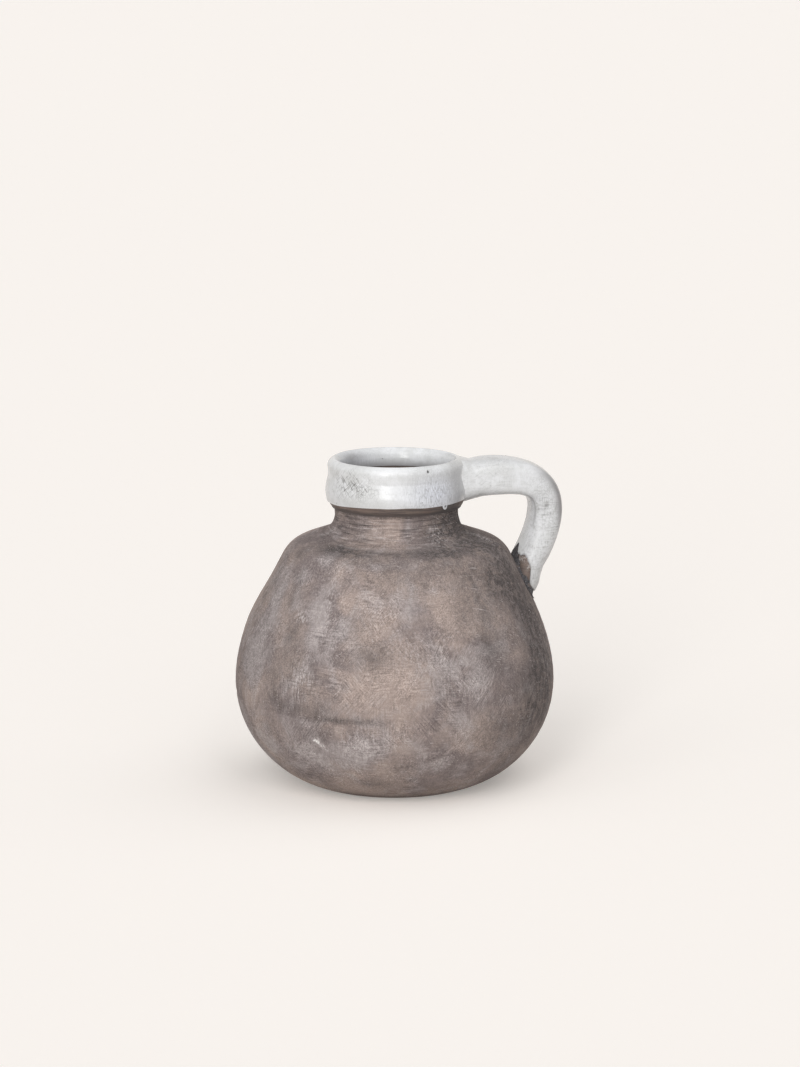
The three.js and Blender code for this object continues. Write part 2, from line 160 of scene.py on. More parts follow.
class JugClayLook(bpy.types.PropertyGroup):
    """Colours of the clay and of what was brushed on it."""

    warm: shade("Warm clay", "Beige-brown clay that shows through the wash", "#a89890")
    veil: shade("Veil", "Pale haze of the wash where it dried chalky", "#aaa19f")
    wash: shade("Wash", "Mauve-grey wash in its thick places", "#7f7472")
    umber: shade("Umber", "Thin brown between the two", "#74675f")
    # The charcoal also paints shade: on the right side of the body and neck, under the collar, at the
    # collar's seat and right end, and on the handle's clay near the body.
    soot: shade("Soot", "Charcoal smudges", "#4e4847")
    chalk: shade("Chalk", "Pale scuffs and dust", "#bfb6b4")
    flake: shade("Flake", "Crisp white flakes of lime in the scuffs", "#dad5d2")
    bare: shade("Bare clay", "Unwashed clay under the collar and inside", "#7b6a62")
    slip: shade("Slip", "Charcoal slip that seals the handle's root", "#5d5a5b")
    slip_hollow: shade("Slip hollow", "The slip in its hollows", "#393739")
    slip_crumb: shade("Slip crumb", "Bluish crumbs on the slip", "#8d8e98")


class JugGlazeLook(bpy.types.PropertyGroup):
    """Colours of the white glaze."""

    milk: shade("Milk", "The glaze where it is thick", "#eff0f1")
    # This tint also paints the cool of the shade inside the mouth, on the left.
    cool: shade("Cool", "Its bluish cast", "#e2e5ee")
    moss: shade("Moss", "Its greenish-grey cast", "#d8d9d7")
    # This grey also paints shade inside the mouth, on the collar's right end and on the handle's outer
    # edge.
    thin: shade("Thin", "The glaze where it is thin and the clay shows through", "#918f90")
    dust: shade("Dust", "Grey-green dirt that sits in its finest pits", "#b4b6b2")
    crack: shade("Crack", "The stain in the crackle", "#6c6a68")
    prick: shade("Prick", "The dirt in its tiny pits", "#5b5853")
    hole: shade("Hole", "The depth of a burst bubble", "#1d1a18")


class JugStageLook(bpy.types.PropertyGroup):
    """The floor, the light and the camera."""

    paper: shade("Paper", "The floor and backdrop", "#f8f3ed")
    bounce: shade("Bounce", "The floor as the jug sees it", "#e0dbd6")
    lit_paper: shade("Lit paper", "The part of the paper's colour that the lamps light", "#ede8e3")
    paper_glow: share("Paper glow", "Brightness of the paper that doesn't come from the lamps", 0.272)
    air: shade("Air", "Colour of the light from all round", "#fbfbfd")
    ambient: share("Ambient", "Strength of the light from all round", 0.28)
    distance: length("Distance", "From the camera to the point it looks at", 2.2)
    aim_height: length("Aim height", "Height of that point", 0.1528)
    aside: length("Aside", "How far that point lies right of the axis", 0.0030)
    elevation: share("Elevation", "The camera's elevation, in degrees", 10.86)
    azimuth: share("Azimuth", "The camera's azimuth, in degrees", -8.0)
    focal: share("Focal length", "In picture heights", 3.387)


# ---- Lines and surfaces


SHARP_DEGREES = 50.0
WAVE_FADE = 0.7
WAVE_SCALE = 1.9


def bezier(points, count):
    """A Bezier curve: its points weighted by the Bernstein polynomials of their number."""
    points = np.asarray(points, float)
    degree = len(points) - 1
    t = np.linspace(0, 1, count)[:, None]
    weights = [math.comb(degree, i) * t**i * (1 - t) ** (degree - i) for i in range(degree + 1)]
    return sum(weight * point for weight, point in zip(weights, points))


def through(points, per_span):
    """A Catmull-Rom curve: on each span a cubic through its ends with the neighbours' mean slope."""
    points = np.asarray(points, float)
    padded = np.vstack([2 * points[0] - points[1], points, 2 * points[-1] - points[-2]])
    t = np.linspace(0, 1, per_span, endpoint=False)[None, :, None]
    a, b, c, d = (padded[i : i + len(points) - 1, None, :] for i in range(4))
    cubic = 2 * b + (c - a) * t + (2 * a - 5 * b + 4 * c - d) * t**2 + (3 * b - a - 3 * c + d) * t**3
    return np.vstack([0.5 * cubic.reshape(-1, points.shape[1]), points[-1:]])


def run_of(line):
    """Distance along a line at each of its points."""
    return np.concatenate([[0.0], np.cumsum(np.linalg.norm(np.diff(line, axis=0), axis=1))])


def evenly(line, step):
    """The same line with its points about one step apart."""
    run = run_of(line)
    count = max(2, int(round(run[-1] / step)) + 1)
    at = np.linspace(0, run[-1], count)
    return np.stack([np.interp(at, run, line[:, i]) for i in range(line.shape[1])], axis=1)


def softened(line, step, width):
    """An evenly stepped line whose bends are averaged over a width, by a bell-shaped weight."""
    line = evenly(line, step)
    reach = int(3 * width / step)
    weights = np.exp(-0.5 * (np.arange(-reach, reach + 1) * step / width) ** 2)
    weights /= weights.sum()
    before = 2 * line[0] - line[reach:0:-1]
    after = 2 * line[-1] - line[-2 : -reach - 2 : -1]
    padded = np.vstack([before, line, after])
    return np.stack([np.convolve(padded[:, i], weights, "valid") for i in range(line.shape[1])], axis=1)


def beside(line, distance):
    """A line moved sideways by a distance, to the left of its run."""
    run = np.gradient(line, axis=0)
    run /= np.linalg.norm(run, axis=1, keepdims=True)
    return line + distance * np.stack([-run[:, 1], run[:, 0]], axis=1)


def cut(line, low, high):
    """The stretch of a rising line between two heights."""
    inside = line[(line[:, 1] > low + 1e-7) & (line[:, 1] < high - 1e-7)]
    ends = [[np.interp(h, line[:, 1], line[:, 0]), h] for h in (low, high)]
    return np.vstack([ends[:1], inside, ends[1:]])


def bell(value, middle, width, power=2):
    """A bell-shaped value: 1 at the middle, and falling off with the distance from it."""
    return np.exp(-(((value - middle) / width) ** power))


# Wandering values: the seed, the number of waves, and how fast they slide round.
WANDERS = {
    "dents": (11, 7, 24.0),
    "rings": (12, 4, 10.0),
    "ring depth": (13, 5, 40.0),
    "seam height": (14, 9, 0.0),
    "seam depth": (15, 9, 0.0),
    "soot": (21, 6, 40.0),
    "chalk": (22, 7, 45.0),
    "seam soot": (23, 14, 0.0),
    "veil": (24, 6, 38.0),
    "collar dents": (31, 6, 60.0),
    "melt": (32, 18, 220.0),
    "glaze edge": (33, 16, 0.0),
    "stain": (34, 6, 30.0),
    "strap dents": (41, 4, 120.0),
    "glaze end": (51, 24, 0.0),
    "strap stain": (52, 5, 90.0),
    "strap craze": (53, 5, 70.0),
    "slip top": (61, 24, 0.0),
    "slip edge": (62, 20, 0.0),
    "slip lumps": (63, 30, 200.0),
}


def wander(name, angle, along=0.0):
    """A smooth wandering value of about -1 to 1 round the jug: a sum of cosine waves, each with a
    whole number of turns, that slide round as the second parameter grows."""
    seed, waves, twist = WANDERS[name]
    draw = np.random.default_rng(seed)
    phases = draw.uniform(0, 2 * np.pi, waves)
    slides = draw.normal(0, twist, waves)
    total = 0.0
    for k in range(waves):
        total = total + np.cos((k + 1) * angle + phases[k] + slides[k] * along) / (k + 1) ** WAVE_FADE
    return total / WAVE_SCALE


# The radii that the widths of marks are measured on.
AT_BELLY, AT_COLLAR, AT_BAND, AT_MOUTH = 0.09, 0.042, 0.041, 0.033


def lump(angle, height, mark, radius=AT_BELLY):
    """A round soft mark on the jug: a bell-shaped value falling off with the distance round it,
    measured on a radius, and with the distance up it."""
    azimuth, level, wide, tall = mark
    around = (angle - math.radians(azimuth) + np.pi) % (2 * np.pi) - np.pi
    return np.exp(-((around * radius / (wide * MM)) ** 2) - ((height - level * MM) / (tall * MM)) ** 2)


def smooth(low, high, value):
    """An S-shaped step from 0 at low to 1 at high."""
    t = np.clip((value - low) / (high - low), 0, 1)
    return t * t * (3 - 2 * t)


def ring_faces(rows, columns, rows_close):
    """The quads of a grid whose columns close into rings, and whose rows may close too."""
    at = np.arange(rows * columns).reshape(rows, columns)
    beyond = np.roll(at, -1, axis=1)
    above, above_beyond = np.roll(at, -1, axis=0), np.roll(beyond, -1, axis=0)
    quads = np.stack([at, beyond, above_beyond, above], axis=-1)
    return quads if rows_close else quads[:-1]


def surface(name, grid, poles=None, fields=None):
    """A mesh object from a grid of points in rows of rings. Its rows close into a loop, or end at
    two poles. Fields are values at the grid's points that materials read."""
    rows, columns, _ = grid.shape
    points = grid.reshape(-1, 3)
    faces = ring_faces(rows, columns, poles is None).reshape(-1, 4).tolist()
    if poles is not None:
        points = np.vstack([points, poles])
        near, far = rows * columns, rows * columns + 1
        ring = np.arange(columns)
        beyond = np.roll(ring, -1)
        last = (rows - 1) * columns
        faces += np.stack([beyond, ring, np.full(columns, near)], axis=-1).tolist()
        faces += np.stack([last + ring, last + beyond, np.full(columns, far)], axis=-1).tolist()
    mesh = bpy.data.meshes.new(name)
    mesh.from_pydata(points.tolist(), [], faces)
    mesh.shade_smooth()
    mesh.set_sharp_from_angle(angle=math.radians(SHARP_DEGREES))
    for field, values in (fields or {}).items():
        values = np.broadcast_to(values, (rows, columns)).ravel()
        if poles is not None:
            values = np.append(values, [values[0], values[-1]])
        mesh.attributes.new(field, "FLOAT", "POINT").data.foreach_set("value", values.astype(np.float32))
    mesh.validate()
    piece = bpy.data.objects.new(name, mesh)
    bpy.context.scene.collection.objects.link(piece)
    return piece


# ---- Nodes and materials


def linear(hex_colour):
    """A linear RGBA colour from an sRGB hex string."""
    parts = [int(hex_colour[i : i + 2], 16) / 255 for i in (1, 3, 5)]
    return (*(p / 12.92 if p <= 0.04045 else ((p + 0.055) / 1.055) ** 2.4 for p in parts), 1.0)


# The words that the materials are written in. Each stands for a node's type, the inputs that its
# values go to, the output that it gives on, and its settings. For the input "mm" the value is the
# size of the pattern's features in millimetres, from which the scale is worked out. A pixel is
# 0.61 mm at the jug's axis. Bristle marks, grit and hair cracks are finer than that on such ware,
# so they are drawn as coarse as it takes to show: strokes, grain and fine lines at 0.6 to 0.9 mm,
# and the cracks of a net 0.2 to 0.4 mm wide.
PATTERN = ("Vector", "mm", "Detail", "Roughness", "Distortion")
RANGE = ("Value", "From Min", "From Max", "To Min", "To Max")
SKIN = ("Base Color", "Roughness", "Normal", "IOR", "Specular IOR Level")
NODES = {
    "coordinates": ("TexCoord", (), "Object", {}),
    "field": ("Attribute", (), "Fac", {}),
    "noise": ("TexNoise", PATTERN, "Fac", {}),
    "colour noise": ("TexNoise", PATTERN, "Color", {}),
    "cells": ("TexVoronoi", PATTERN, "Distance", {}),
    "borders": ("TexVoronoi", PATTERN, "Distance", {"feature": "DISTANCE_TO_EDGE"}),
    "stretch": ("Mapping", ("Vector", "Scale", "Rotation"), "Vector", {}),
    "spin": ("VectorRotate", ("Vector", "Angle"), "Vector", {"rotation_type": "Z_AXIS"}),
    "ramp": ("MapRange", RANGE, "Result", {"interpolation_type": "SMOOTHSTEP"}),
    "plus": ("Math", (0, 1), 0, {"operation": "ADD"}),
    "times": ("Math", (0, 1), 0, {"operation": "MULTIPLY"}),
    "times plus": ("Math", (0, 1, 2), 0, {"operation": "MULTIPLY_ADD"}),
    "greater": ("Math", (0, 1), 0, {"operation": "MAXIMUM"}),
    "between": ("Mix", (0, 2, 3), 0, {}),
    "blend": ("Mix", (0, 6, 7), 2, {"data_type": "RGBA"}),
    "shade": ("VectorMath", (0, "Scale"), 0, {"operation": "SCALE"}),
    "shift": ("VectorMath", (0, 1, 2), 0, {"operation": "MULTIPLY_ADD"}),
    "axes": ("SeparateXYZ", (0,), None, {}),
    "channels": ("SeparateColor", (0,), None, {}),
    "rays": ("LightPath", (), None, {}),
    "relief": ("Bump", ("Height", "Strength", "Distance"), 0, {}),
    "skin": ("BsdfPrincipled", SKIN, 0, {}),
    "matte": ("BsdfDiffuse", ("Color",), 0, {}),
    "glow": ("Emission", ("Color", "Strength"), 0, {}),
    "air": ("Background", ("Color", "Strength"), 0, {}),
    "both": ("AddShader", (0, 1), 0, {}),
    "either": ("MixShader", (0, 1, 2), 0, {}),
    "surface": ("OutputMaterial", ("Surface",), None, {}),
    "surroundings": ("OutputWorld", ("Surface",), None, {}),
}


def add_node(tree, word, *values, **settings):
    """Adds the node that a word stands for. A value that is a socket is linked to its input, and
    any other is set there. Gives back the node's output, or all of them where the word names none."""
    kind, inputs, output, fixed = NODES[word]
    node = tree.nodes.new("ShaderNode" + kind)
    for key, value in {**fixed, **settings}.items():
        setattr(node, key, value)
    for key, value in zip(inputs, values):
        if key == "mm":
            key, value = "Scale", 1000.0 / value
        if isinstance(value, bpy.types.NodeSocket):
            tree.links.new(value, node.inputs[key])
        else:
            node.inputs[key].default_value = value
    return node.outputs if output is None else node.outputs[output]


def emptied(block):
    """Clears the tree of a material or world. Gives back the call that adds a node to it."""
    block.use_nodes = True
    block.node_tree.nodes.clear()
    return partial(add_node, block.node_tree)


def fields_of(add, *names):
    """Values that the piece's mesh carries, by name."""
    return [add("field", attribute_name=name) for name in names]


def painted(add, ground, coats):
    """A ground colour under coats of others, each with its share, in the order they went on."""
    colour = linear(ground)
    for share_of_coat, paint in coats:
        colour = add("blend", share_of_coat, colour, linear(paint))
    return colour


def finished(add, colour, roughness, height, strength, depth, *optics):
    """Ends a material. Its height is a relief of so many metres, and optics are the refractive
    index and, where it isn't the usual one, the level of the shine."""
    add("surface", add("skin", colour, roughness, add("relief", height, strength, depth), *optics))


def twisted(add, vector, turn_per_metre):
    """Coordinates turned about the jug's axis in proportion to height, which lays upright
    streaks over into spirals."""
    return add("spin", vector, add("times", add("axes", vector)["Z"], turn_per_metre))


def brush_strokes(add, position, level, width):
    """Hair-thin strokes of a stiff brush: noise drawn out along the wall, along both spirals and
    round the jug, where wide soft noises fade each direction in and out. Level lays them round."""
    ways = (position, twisted(add, position, 9.5), twisted(add, position, -8.5))
    drawn = [add("stretch", way, (1.0, 1.0, 0.08)) for way in ways]
    drawn.append(add("stretch", position, (0.12, 0.12, 1.0)))
    upright, right, left, around = (add("noise", way, width, 3.0, 0.6) for way in drawn)
    where = add("channels", add("colour noise", position, 22.0, 2.0, 0.5, 0.8))
    spirals = add("between", add("ramp", where[0], 0.36, 0.64), right, left)
    crossed = add("between", add("ramp", where[1], 0.34, 0.66), upright, around)
    mixed = add("between", add("ramp", where[2], 0.34, 0.66), spirals, crossed)
    return add("between", level, mixed, around)


def washed_terracotta(add, look):
    """Terracotta, thrown, fired matte and brushed with a thin grey wash. The eye sees warm clay through
    cloudy mauve-grey, hair-fine brush strokes that cross, charcoal smudges where the wash pooled, chalky
    scuffs on what stands proud, and no gloss. The charcoal also paints shade on the right side of the body
    and neck and on the neck under the collar."""
    soot, chalk, veil, warm, level = fields_of(add, "soot", "chalk", "veil", "warm", "level")
    position = add("coordinates")
    other = add("stretch", position, (1.0, 1.0, 0.8), (0.4, 0.9, 0.2))
    strokes = brush_strokes(add, position, level, 0.85)
    clouds = add("noise", position, 36.0, 3.0, 0.5, 0.6)
    patches = add("noise", position, 12.0, 4.0, 0.45, 0.5)
    veils = add("noise", other, 17.0, 4.0, 0.47, 0.7)
    mottle = add("noise", other, 4.5, 4.0, 0.6, 0.4)
    grain = add("noise", position, 0.75, 2.0, 0.6)
    flecks = add("noise", other, 1.9, 3.0, 0.65, 0.3)
    flakes = add("noise", other, 1.3, 3.0, 0.6, 0.8)
    streaks = add("noise", add("stretch", position, (1.0, 1.0, 0.14)), 1.3, 4.0, 0.65)
    turning = add("noise", add("stretch", position, (0.06, 0.06, 1.0)), 1.7, 3.0, 0.6)
    hairs = add("noise", add("stretch", twisted(add, other, 7.5), (1.0, 1.0, 0.06)), 0.8, 2.0)
    scratches = add("noise", add("stretch", twisted(add, other, -6.0), (1.0, 1.0, 0.05)), 0.9, 2.0)

    edge = add("times plus", veil, 0.12, add("times plus", patches, 0.30, clouds))
    edge = add("times plus", warm, -0.14, edge)
    thin = add("times plus", mottle, 0.6, add("times", patches, 0.4))
    haze = add("times plus", veil, 0.26, add("times plus", strokes, 0.32, veils))
    broken = add("ramp", add("times plus", mottle, 0.5, strokes), 0.56, 0.92, 0.22, 1.0)
    streaks = add("ramp", streaks, 0.44, 0.66)
    hairs = add("times", add("ramp", hairs, 0.64, 0.70), add("ramp", patches, 0.42, 0.60, 0.0, 0.6))
    scratches = add("ramp", scratches, 0.34, 0.27)
    scratches = add("times", scratches, add("ramp", veils, 0.50, 0.60, 0.0, 0.5))
    crumbs = add("ramp", add("cells", position, 6.0), 0.08, 0.04)
    crumbs = add("times", crumbs, add("ramp", veils, 0.48, 0.62, 0.0, 0.7))
    coats = (
        (add("ramp", edge, 0.47, 0.83), look.wash),
        (add("ramp", thin, 0.50, 0.66, 0.0, 0.33), look.umber),
        (add("ramp", haze, 0.62, 0.94, 0.0, 0.8), look.veil),
        # Charcoal smudges, and painted shade on the right side and on the neck under the collar.
        (add("times", soot, broken, use_clamp=True), look.soot),
        (add("times", chalk, streaks, use_clamp=True), look.chalk),
        (add("ramp", add("times plus", chalk, 0.22, flakes), 0.84, 0.92), look.flake),
        (add("times", level, add("ramp", turning, 0.53, 0.64, 0.0, 0.65)), look.soot),
        (add("times", level, add("ramp", turning, 0.42, 0.32, 0.0, 0.5)), look.chalk),
        (hairs, look.chalk),
        (scratches, look.soot),
        (crumbs, look.chalk),
        (add("ramp", add("cells", other, 7.5), 0.07, 0.03, 0.0, 0.5), look.soot),
    )
    colour = painted(add, look.warm, coats)

    depths = ((strokes, 0.38), (grain, 0.30), (flecks, 0.11), (mottle, 0.06))
    swings = [add("ramp", pattern, 0.25, 0.75, 1 - depth, 1 + depth) for pattern, depth in depths]
    busy = add("ramp", add("noise", other, 15.0, 2.0), 0.38, 0.60, 0.40, 1.0)
    contrast = add("between", add("plus", busy, soot), 1.0, add("times", swings[0], swings[1]))
    contrast = add("times", add("times", contrast, swings[2]), swings[3])
    height = add("times plus", grain, 0.3, add("times", strokes, 0.6))
    height = add("times plus", patches, 0.9, height)
    roughness = add("ramp", patches, 0.3, 0.7, 0.82, 0.95)
    finished(add, add("shade", colour, contrast), roughness, height, 0.45, 0.6 * MM, 1.45, 0.35)


def bare_terracotta(add, look):
    """Terracotta that the wash never reached, wiped with a wet finger before firing. The eye sees an even
    brown skin with faint turning lines, a slight dull shine, and pale torn flecks where glaze chipped off.
    Charcoal paints shade at the collar's seat and right end and on the handle's clay near the body, and
    one pale spot on the handle is a painted glint."""
    soot, torn = fields_of(add, "soot", "torn")
    position = add("coordinates")
    lines = add("noise", add("stretch", position, (0.08, 0.08, 1.0)), 1.3, 3.0, 0.6)
    clouds = add("noise", position, 9.0, 4.0, 0.6, 0.4)
    grain = add("noise", position, 0.8, 3.0, 0.7)
    shreds = add("stretch", position, (1.0, 1.0, 0.4), (0.0, 0.5, 0.0))
    shreds = add("ramp", add("noise", shreds, 0.8, 3.0, 0.65, 0.8), 0.44, 0.58)
    coats = (
        (add("ramp", clouds, 0.35, 0.65), look.bare),
        (add("ramp", lines, 0.50, 0.64, 0.0, 0.75), look.soot),
        (add("ramp", lines, 0.42, 0.32, 0.0, 0.5), look.warm),
        (add("ramp", grain, 0.58, 0.8, 0.0, 0.4), look.warm),
        # Pale torn flecks where the glaze chipped, and a painted glint on the bare patch.
        (add("times", shreds, torn, use_clamp=True), look.flake),
        # Painted shade at the collar's seat and right end and on the handle's clay near the body.
        (soot, look.soot),
    )
    roughness = add("ramp", clouds, 0.3, 0.7, 0.55, 0.75)
    height = add("times plus", grain, 0.4, lines)
    finished(add, painted(add, look.umber, coats), roughness, height, 0.5, 0.5 * MM, 1.45)


def charcoal_slip(add, look):
    """Dark clay slip, smeared wet round the handle's root and fired on. The eye sees a rough
    charcoal crust with bluish crumbs and brown clay between them."""
    position = add("coordinates")
    crumbs = add("noise", position, 1.7, 4.0, 0.65)
    clouds = add("noise", position, 5.0, 3.0, 0.6)
    grain = add("noise", position, 0.6, 2.0, 0.6)
    coats = (
        (add("ramp", crumbs, 0.40, 0.66), look.slip),
        (add("ramp", clouds, 0.54, 0.68, 0.0, 0.6), look.umber),
        (add("ramp", grain, 0.56, 0.68, 0.0, 0.75), look.slip_crumb),
    )
    roughness = add("ramp", crumbs, 0.3, 0.7, 0.6, 0.92)
    height = add("times plus", grain, 0.3, crumbs)
    finished(add, painted(add, look.slip_hollow, coats), roughness, height, 0.8, 0.8 * MM, 1.45)


def crackle(add, vector, scale, rotation, size, thickness):
    """A net of cracks: one thin line along each border between the cells of a random mosaic."""
    return add("ramp", add("borders", add("stretch", vector, scale, rotation), size), thickness, 0.0)


def crackled_white_glaze(add, look):
    """Tin-white earthenware glaze, dipped thick and fired glossy. The eye sees milky white with
    cool and greenish clouds, a net of hair cracks that has taken up dirt in places and crosses
    upright, level or slanting, tiny pits, and a wet shine broken by the slight waves of the melt."""
    names = ("stain", "craze", "hatch", "diamond", "thin", "pinhole")
    stain, craze, hatch, diamond, thin, pinhole = fields_of(add, *names)
    position = add("coordinates")
    wavy = add("shift", add("colour noise", position, 6.0, 2.0), (0.8 * MM,) * 3, position)
    clouds = add("noise", position, 20.0, 3.0, 0.55, 0.4)
    blotches = add("noise", position, 6.5, 4.0, 0.6, 0.3)
    dust = add("ramp", add("noise", position, 1.6, 4.0, 0.7), 0.46, 0.66, 0.0, 0.8)
    net = crackle(add, wavy, (1.0, 1.0, 0.6), (0.7, 0.5, 0.3), 1.6, 0.12)
    fine = crackle(add, wavy, (1.0, 1.0, 0.7), (0.5, 0.3, 0.0), 1.3, 0.09)
    upright = crackle(add, wavy, (1.0, 1.0, 0.12), (0.0, 0.0, 0.0), 1.25, 0.13)
    stained = add("times", stain, add("ramp", blotches, 0.32, 0.60, 0.25, 1.0))

    def hair_lines(vector, scale, low, high):
        """Fine lines along the ways in which the coordinates are drawn out."""
        return add("ramp", add("noise", add("stretch", vector, scale), 0.75, 2.0), low, high)

    plumb, level = (hair_lines(wavy, way, 0.50, 0.70) for way in ((1.0, 1.0, 0.09), (0.09, 0.09, 1.0)))
    leaning = [add("stretch", wavy, (1.0, 1.0, 1.0), (0.68 * way, 0.50 * way, 0.0)) for way in (1, -1)]
    slanted, crossing = (hair_lines(way, (0.12, 0.12, 1.0), 0.52, 0.64) for way in leaning)
    squares = add("times", add("plus", plumb, level), add("ramp", blotches, 0.36, 0.62, 0.25, 0.8))
    kinds = (
        add("times", net, add("plus", stained, 0.03)),
        add("times", fine, add("times", stained, 0.45)),
        add("times", upright, add("times", craze, 0.55)),
        add("times", squares, hatch),
        add("times", add("plus", slanted, crossing), diamond),
    )
    lines = reduce(partial(add, "greater"), kinds)
    coats = (
        (add("ramp", clouds, 0.40, 0.62, 0.0, 0.7), look.moss),
        (add("ramp", blotches, 0.46, 0.68, 0.0, 0.5), look.moss),
        # Crazing's bluish cast, and a painted cool tint in the shade inside the mouth.
        (craze, look.cool),
        (add("times", dust, hatch), look.dust),
        (lines, look.crack),
        (add("ramp", add("cells", position, 9.0), 0.05, 0.025, 0.0, 0.6), look.prick),
        # Thin glaze, and painted shade inside the mouth, on the collar's right end and on the handle's
        # outer edge.
        (thin, look.thin),
        (pinhole, look.hole),
    )
    roughness = add("times plus", hatch, 0.5, add("ramp", blotches, 0.3, 0.7, 0.12, 0.18))
    height = add("times plus", lines, -0.25, add("times", blotches, 0.8))
    finished(add, painted(add, look.milk, coats), roughness, height, 0.2, 0.6 * MM, 1.5)


# The material slots, with what makes each one's material and whose colours it takes.
FINISHES = {
    "washed_terracotta": (washed_terracotta, "jug_clay"),
    "bare_terracotta": (bare_terracotta, "jug_clay"),
    "dark_slip": (charcoal_slip, "jug_clay"),
    "white_glaze": (crackled_white_glaze, "jug_glaze"),
}


def finish(slot):
    """The material of a slot, made once and then shared."""
    maker, look = FINISHES[slot]
    name = maker.__name__.replace("_", " ")
    material = bpy.data.materials.get(name)
    if material is None:
        material = bpy.data.materials.new(name)
        maker(emptied(material), getattr(bpy.context.scene, look))
    return material


def place(piece, node, slot):
    """Gives a piece the finish of a slot, and puts it on the frame in place of a node."""
    piece.data.materials.append(finish(slot))
    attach(piece, "root")
    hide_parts(node)


# ---- The jug's own forms


# How finely the pieces are drawn: columns round them, and rows along them by their spacing,
# their number, or as one in so many rows of a finer skin.
BODY_COLUMNS = 512
COLLAR_COLUMNS = 560
HANDLE_COLUMNS = 112
ROW_STEP = 1.2 * MM
INNER_STEP = 2.5 * ROW_STEP
FLAT_STEP = 4 * MM
CLAY_STEP = 0.8 * MM
COAT_STEP = 0.6 * MM
LINE_POINTS = 160
ARM_POINTS = 120
CORNER_POINTS = 40
FLOOR_POINTS = 12
STRAP_ROWS = 150
FILLET_ROWS = 14
SLIP_ROWS = 12
CLAY_SKIP = 3
STRAP_SKIP = 6
# The step and the width with which a line's bends are averaged.
BODY_SOFTENING = (0.4 * MM, 1.6 * MM)
HANDLE_SOFTENING = (0.5 * MM, 2.0 * MM)
# The radius of the rings next to the poles in the foot and the floor.
POLE_HOLE = 2 * MM
# Distances along the strap's centreline: where the coat's own rows begin, after the fillet on the
# collar, and how much of the strap is left out when it is asked where the strap meets the dome.
COAT_START = 12 * MM
LEG_START = 30 * MM
# How much the mouth widens towards the handle, and between which heights it begins to.
MOUTH_SPREAD = 1.4 * MM
MOUTH_HEIGHTS = (0.175, 0.190)
# Two points inside the lip: their shares of its width and of its inner depth.
LIP_POINTS = ((0.29, 0.29), (0.08, 0.62))


def body_line(s):
    """The outside of the body in profile: part of an ellipse up to the belly, a cubic flank, a
    rounded shoulder, a rounded neck root and the upright neck."""
    depth = s.belly_height + s.closes_below
    share_at_foot = math.sqrt(1 - (s.belly_height / depth) ** 2)
    spread = (s.belly_radius - s.foot_radius) / (1 - share_at_foot)
    heights = np.linspace(0, s.belly_height, LINE_POINTS)
    shares = np.sqrt(1 - ((s.belly_height - heights) / depth) ** 2)
    bowl = np.stack([s.belly_radius - spread * (1 - shares), heights], axis=1)
    third = (s.shoulder_height - s.belly_height) / 3
    shoulder = np.array([s.shoulder_radius, s.shoulder_height])
    root = np.array([s.neck_radius, s.neck_root])
    above_belly = (s.belly_radius, s.belly_height + third)
    under_shoulder = (s.shoulder_radius + s.flank_slope * third, s.shoulder_height - third)
    flank = [(s.belly_radius, s.belly_height), above_belly, under_shoulder, shoulder]
    flank = bezier(flank, LINE_POINTS)
    flank = flank[np.linalg.norm(flank - shoulder, axis=1) > s.shoulder_rounding]
    inwards = (root - shoulder) / np.linalg.norm(root - shoulder)
    corner = bezier([flank[-1], shoulder, shoulder + inwards * s.shoulder_rounding], CORNER_POINTS)
    neck = [root - inwards * s.neck_rounding, root, root + (0, s.neck_rounding)]
    top = [[s.neck_radius, s.neck_top]]
    line = np.vstack([bowl[:-1], flank, corner[1:], bezier(neck, CORNER_POINTS), top])
    line = softened(line, *BODY_SOFTENING)
    line[0], line[-1] = (s.foot_radius, 0.0), top[0]
    return line


def drift_at(s, height):
    """How far the jug stands off its axis at a height."""
    return s.drift * bell(height, s.neck_seam, s.drift_spread)


def thrown(s, radius, angle, height):
    """Points of the hand-made form: the ideal radius made a little oval and moved off the axis."""
    rise = smooth(s.belly_height, RIM_HEIGHT, height)
    oval = s.oval * (1 - rise) * np.cos(2 * angle - 0.5) + s.rim_oval * rise * np.cos(3 * angle)
    real = radius * (1 + oval / s.belly_radius)
    return np.stack([real * np.cos(angle) + drift_at(s, height), real * np.sin(angle), height], axis=-1)


# Marks on the body and the collar: azimuth in degrees (0 towards the handle, -98 towards the
# camera), height, half width and half height in millimetres. Those of a list end with a strength,
# which for the dents is a depth in millimetres.
WALL_DENTS = ((172, 127, 45, 13, 1.2), (172, 101, 40, 9, -0.35), (-6, 154.5, 60, 5, 1.3))
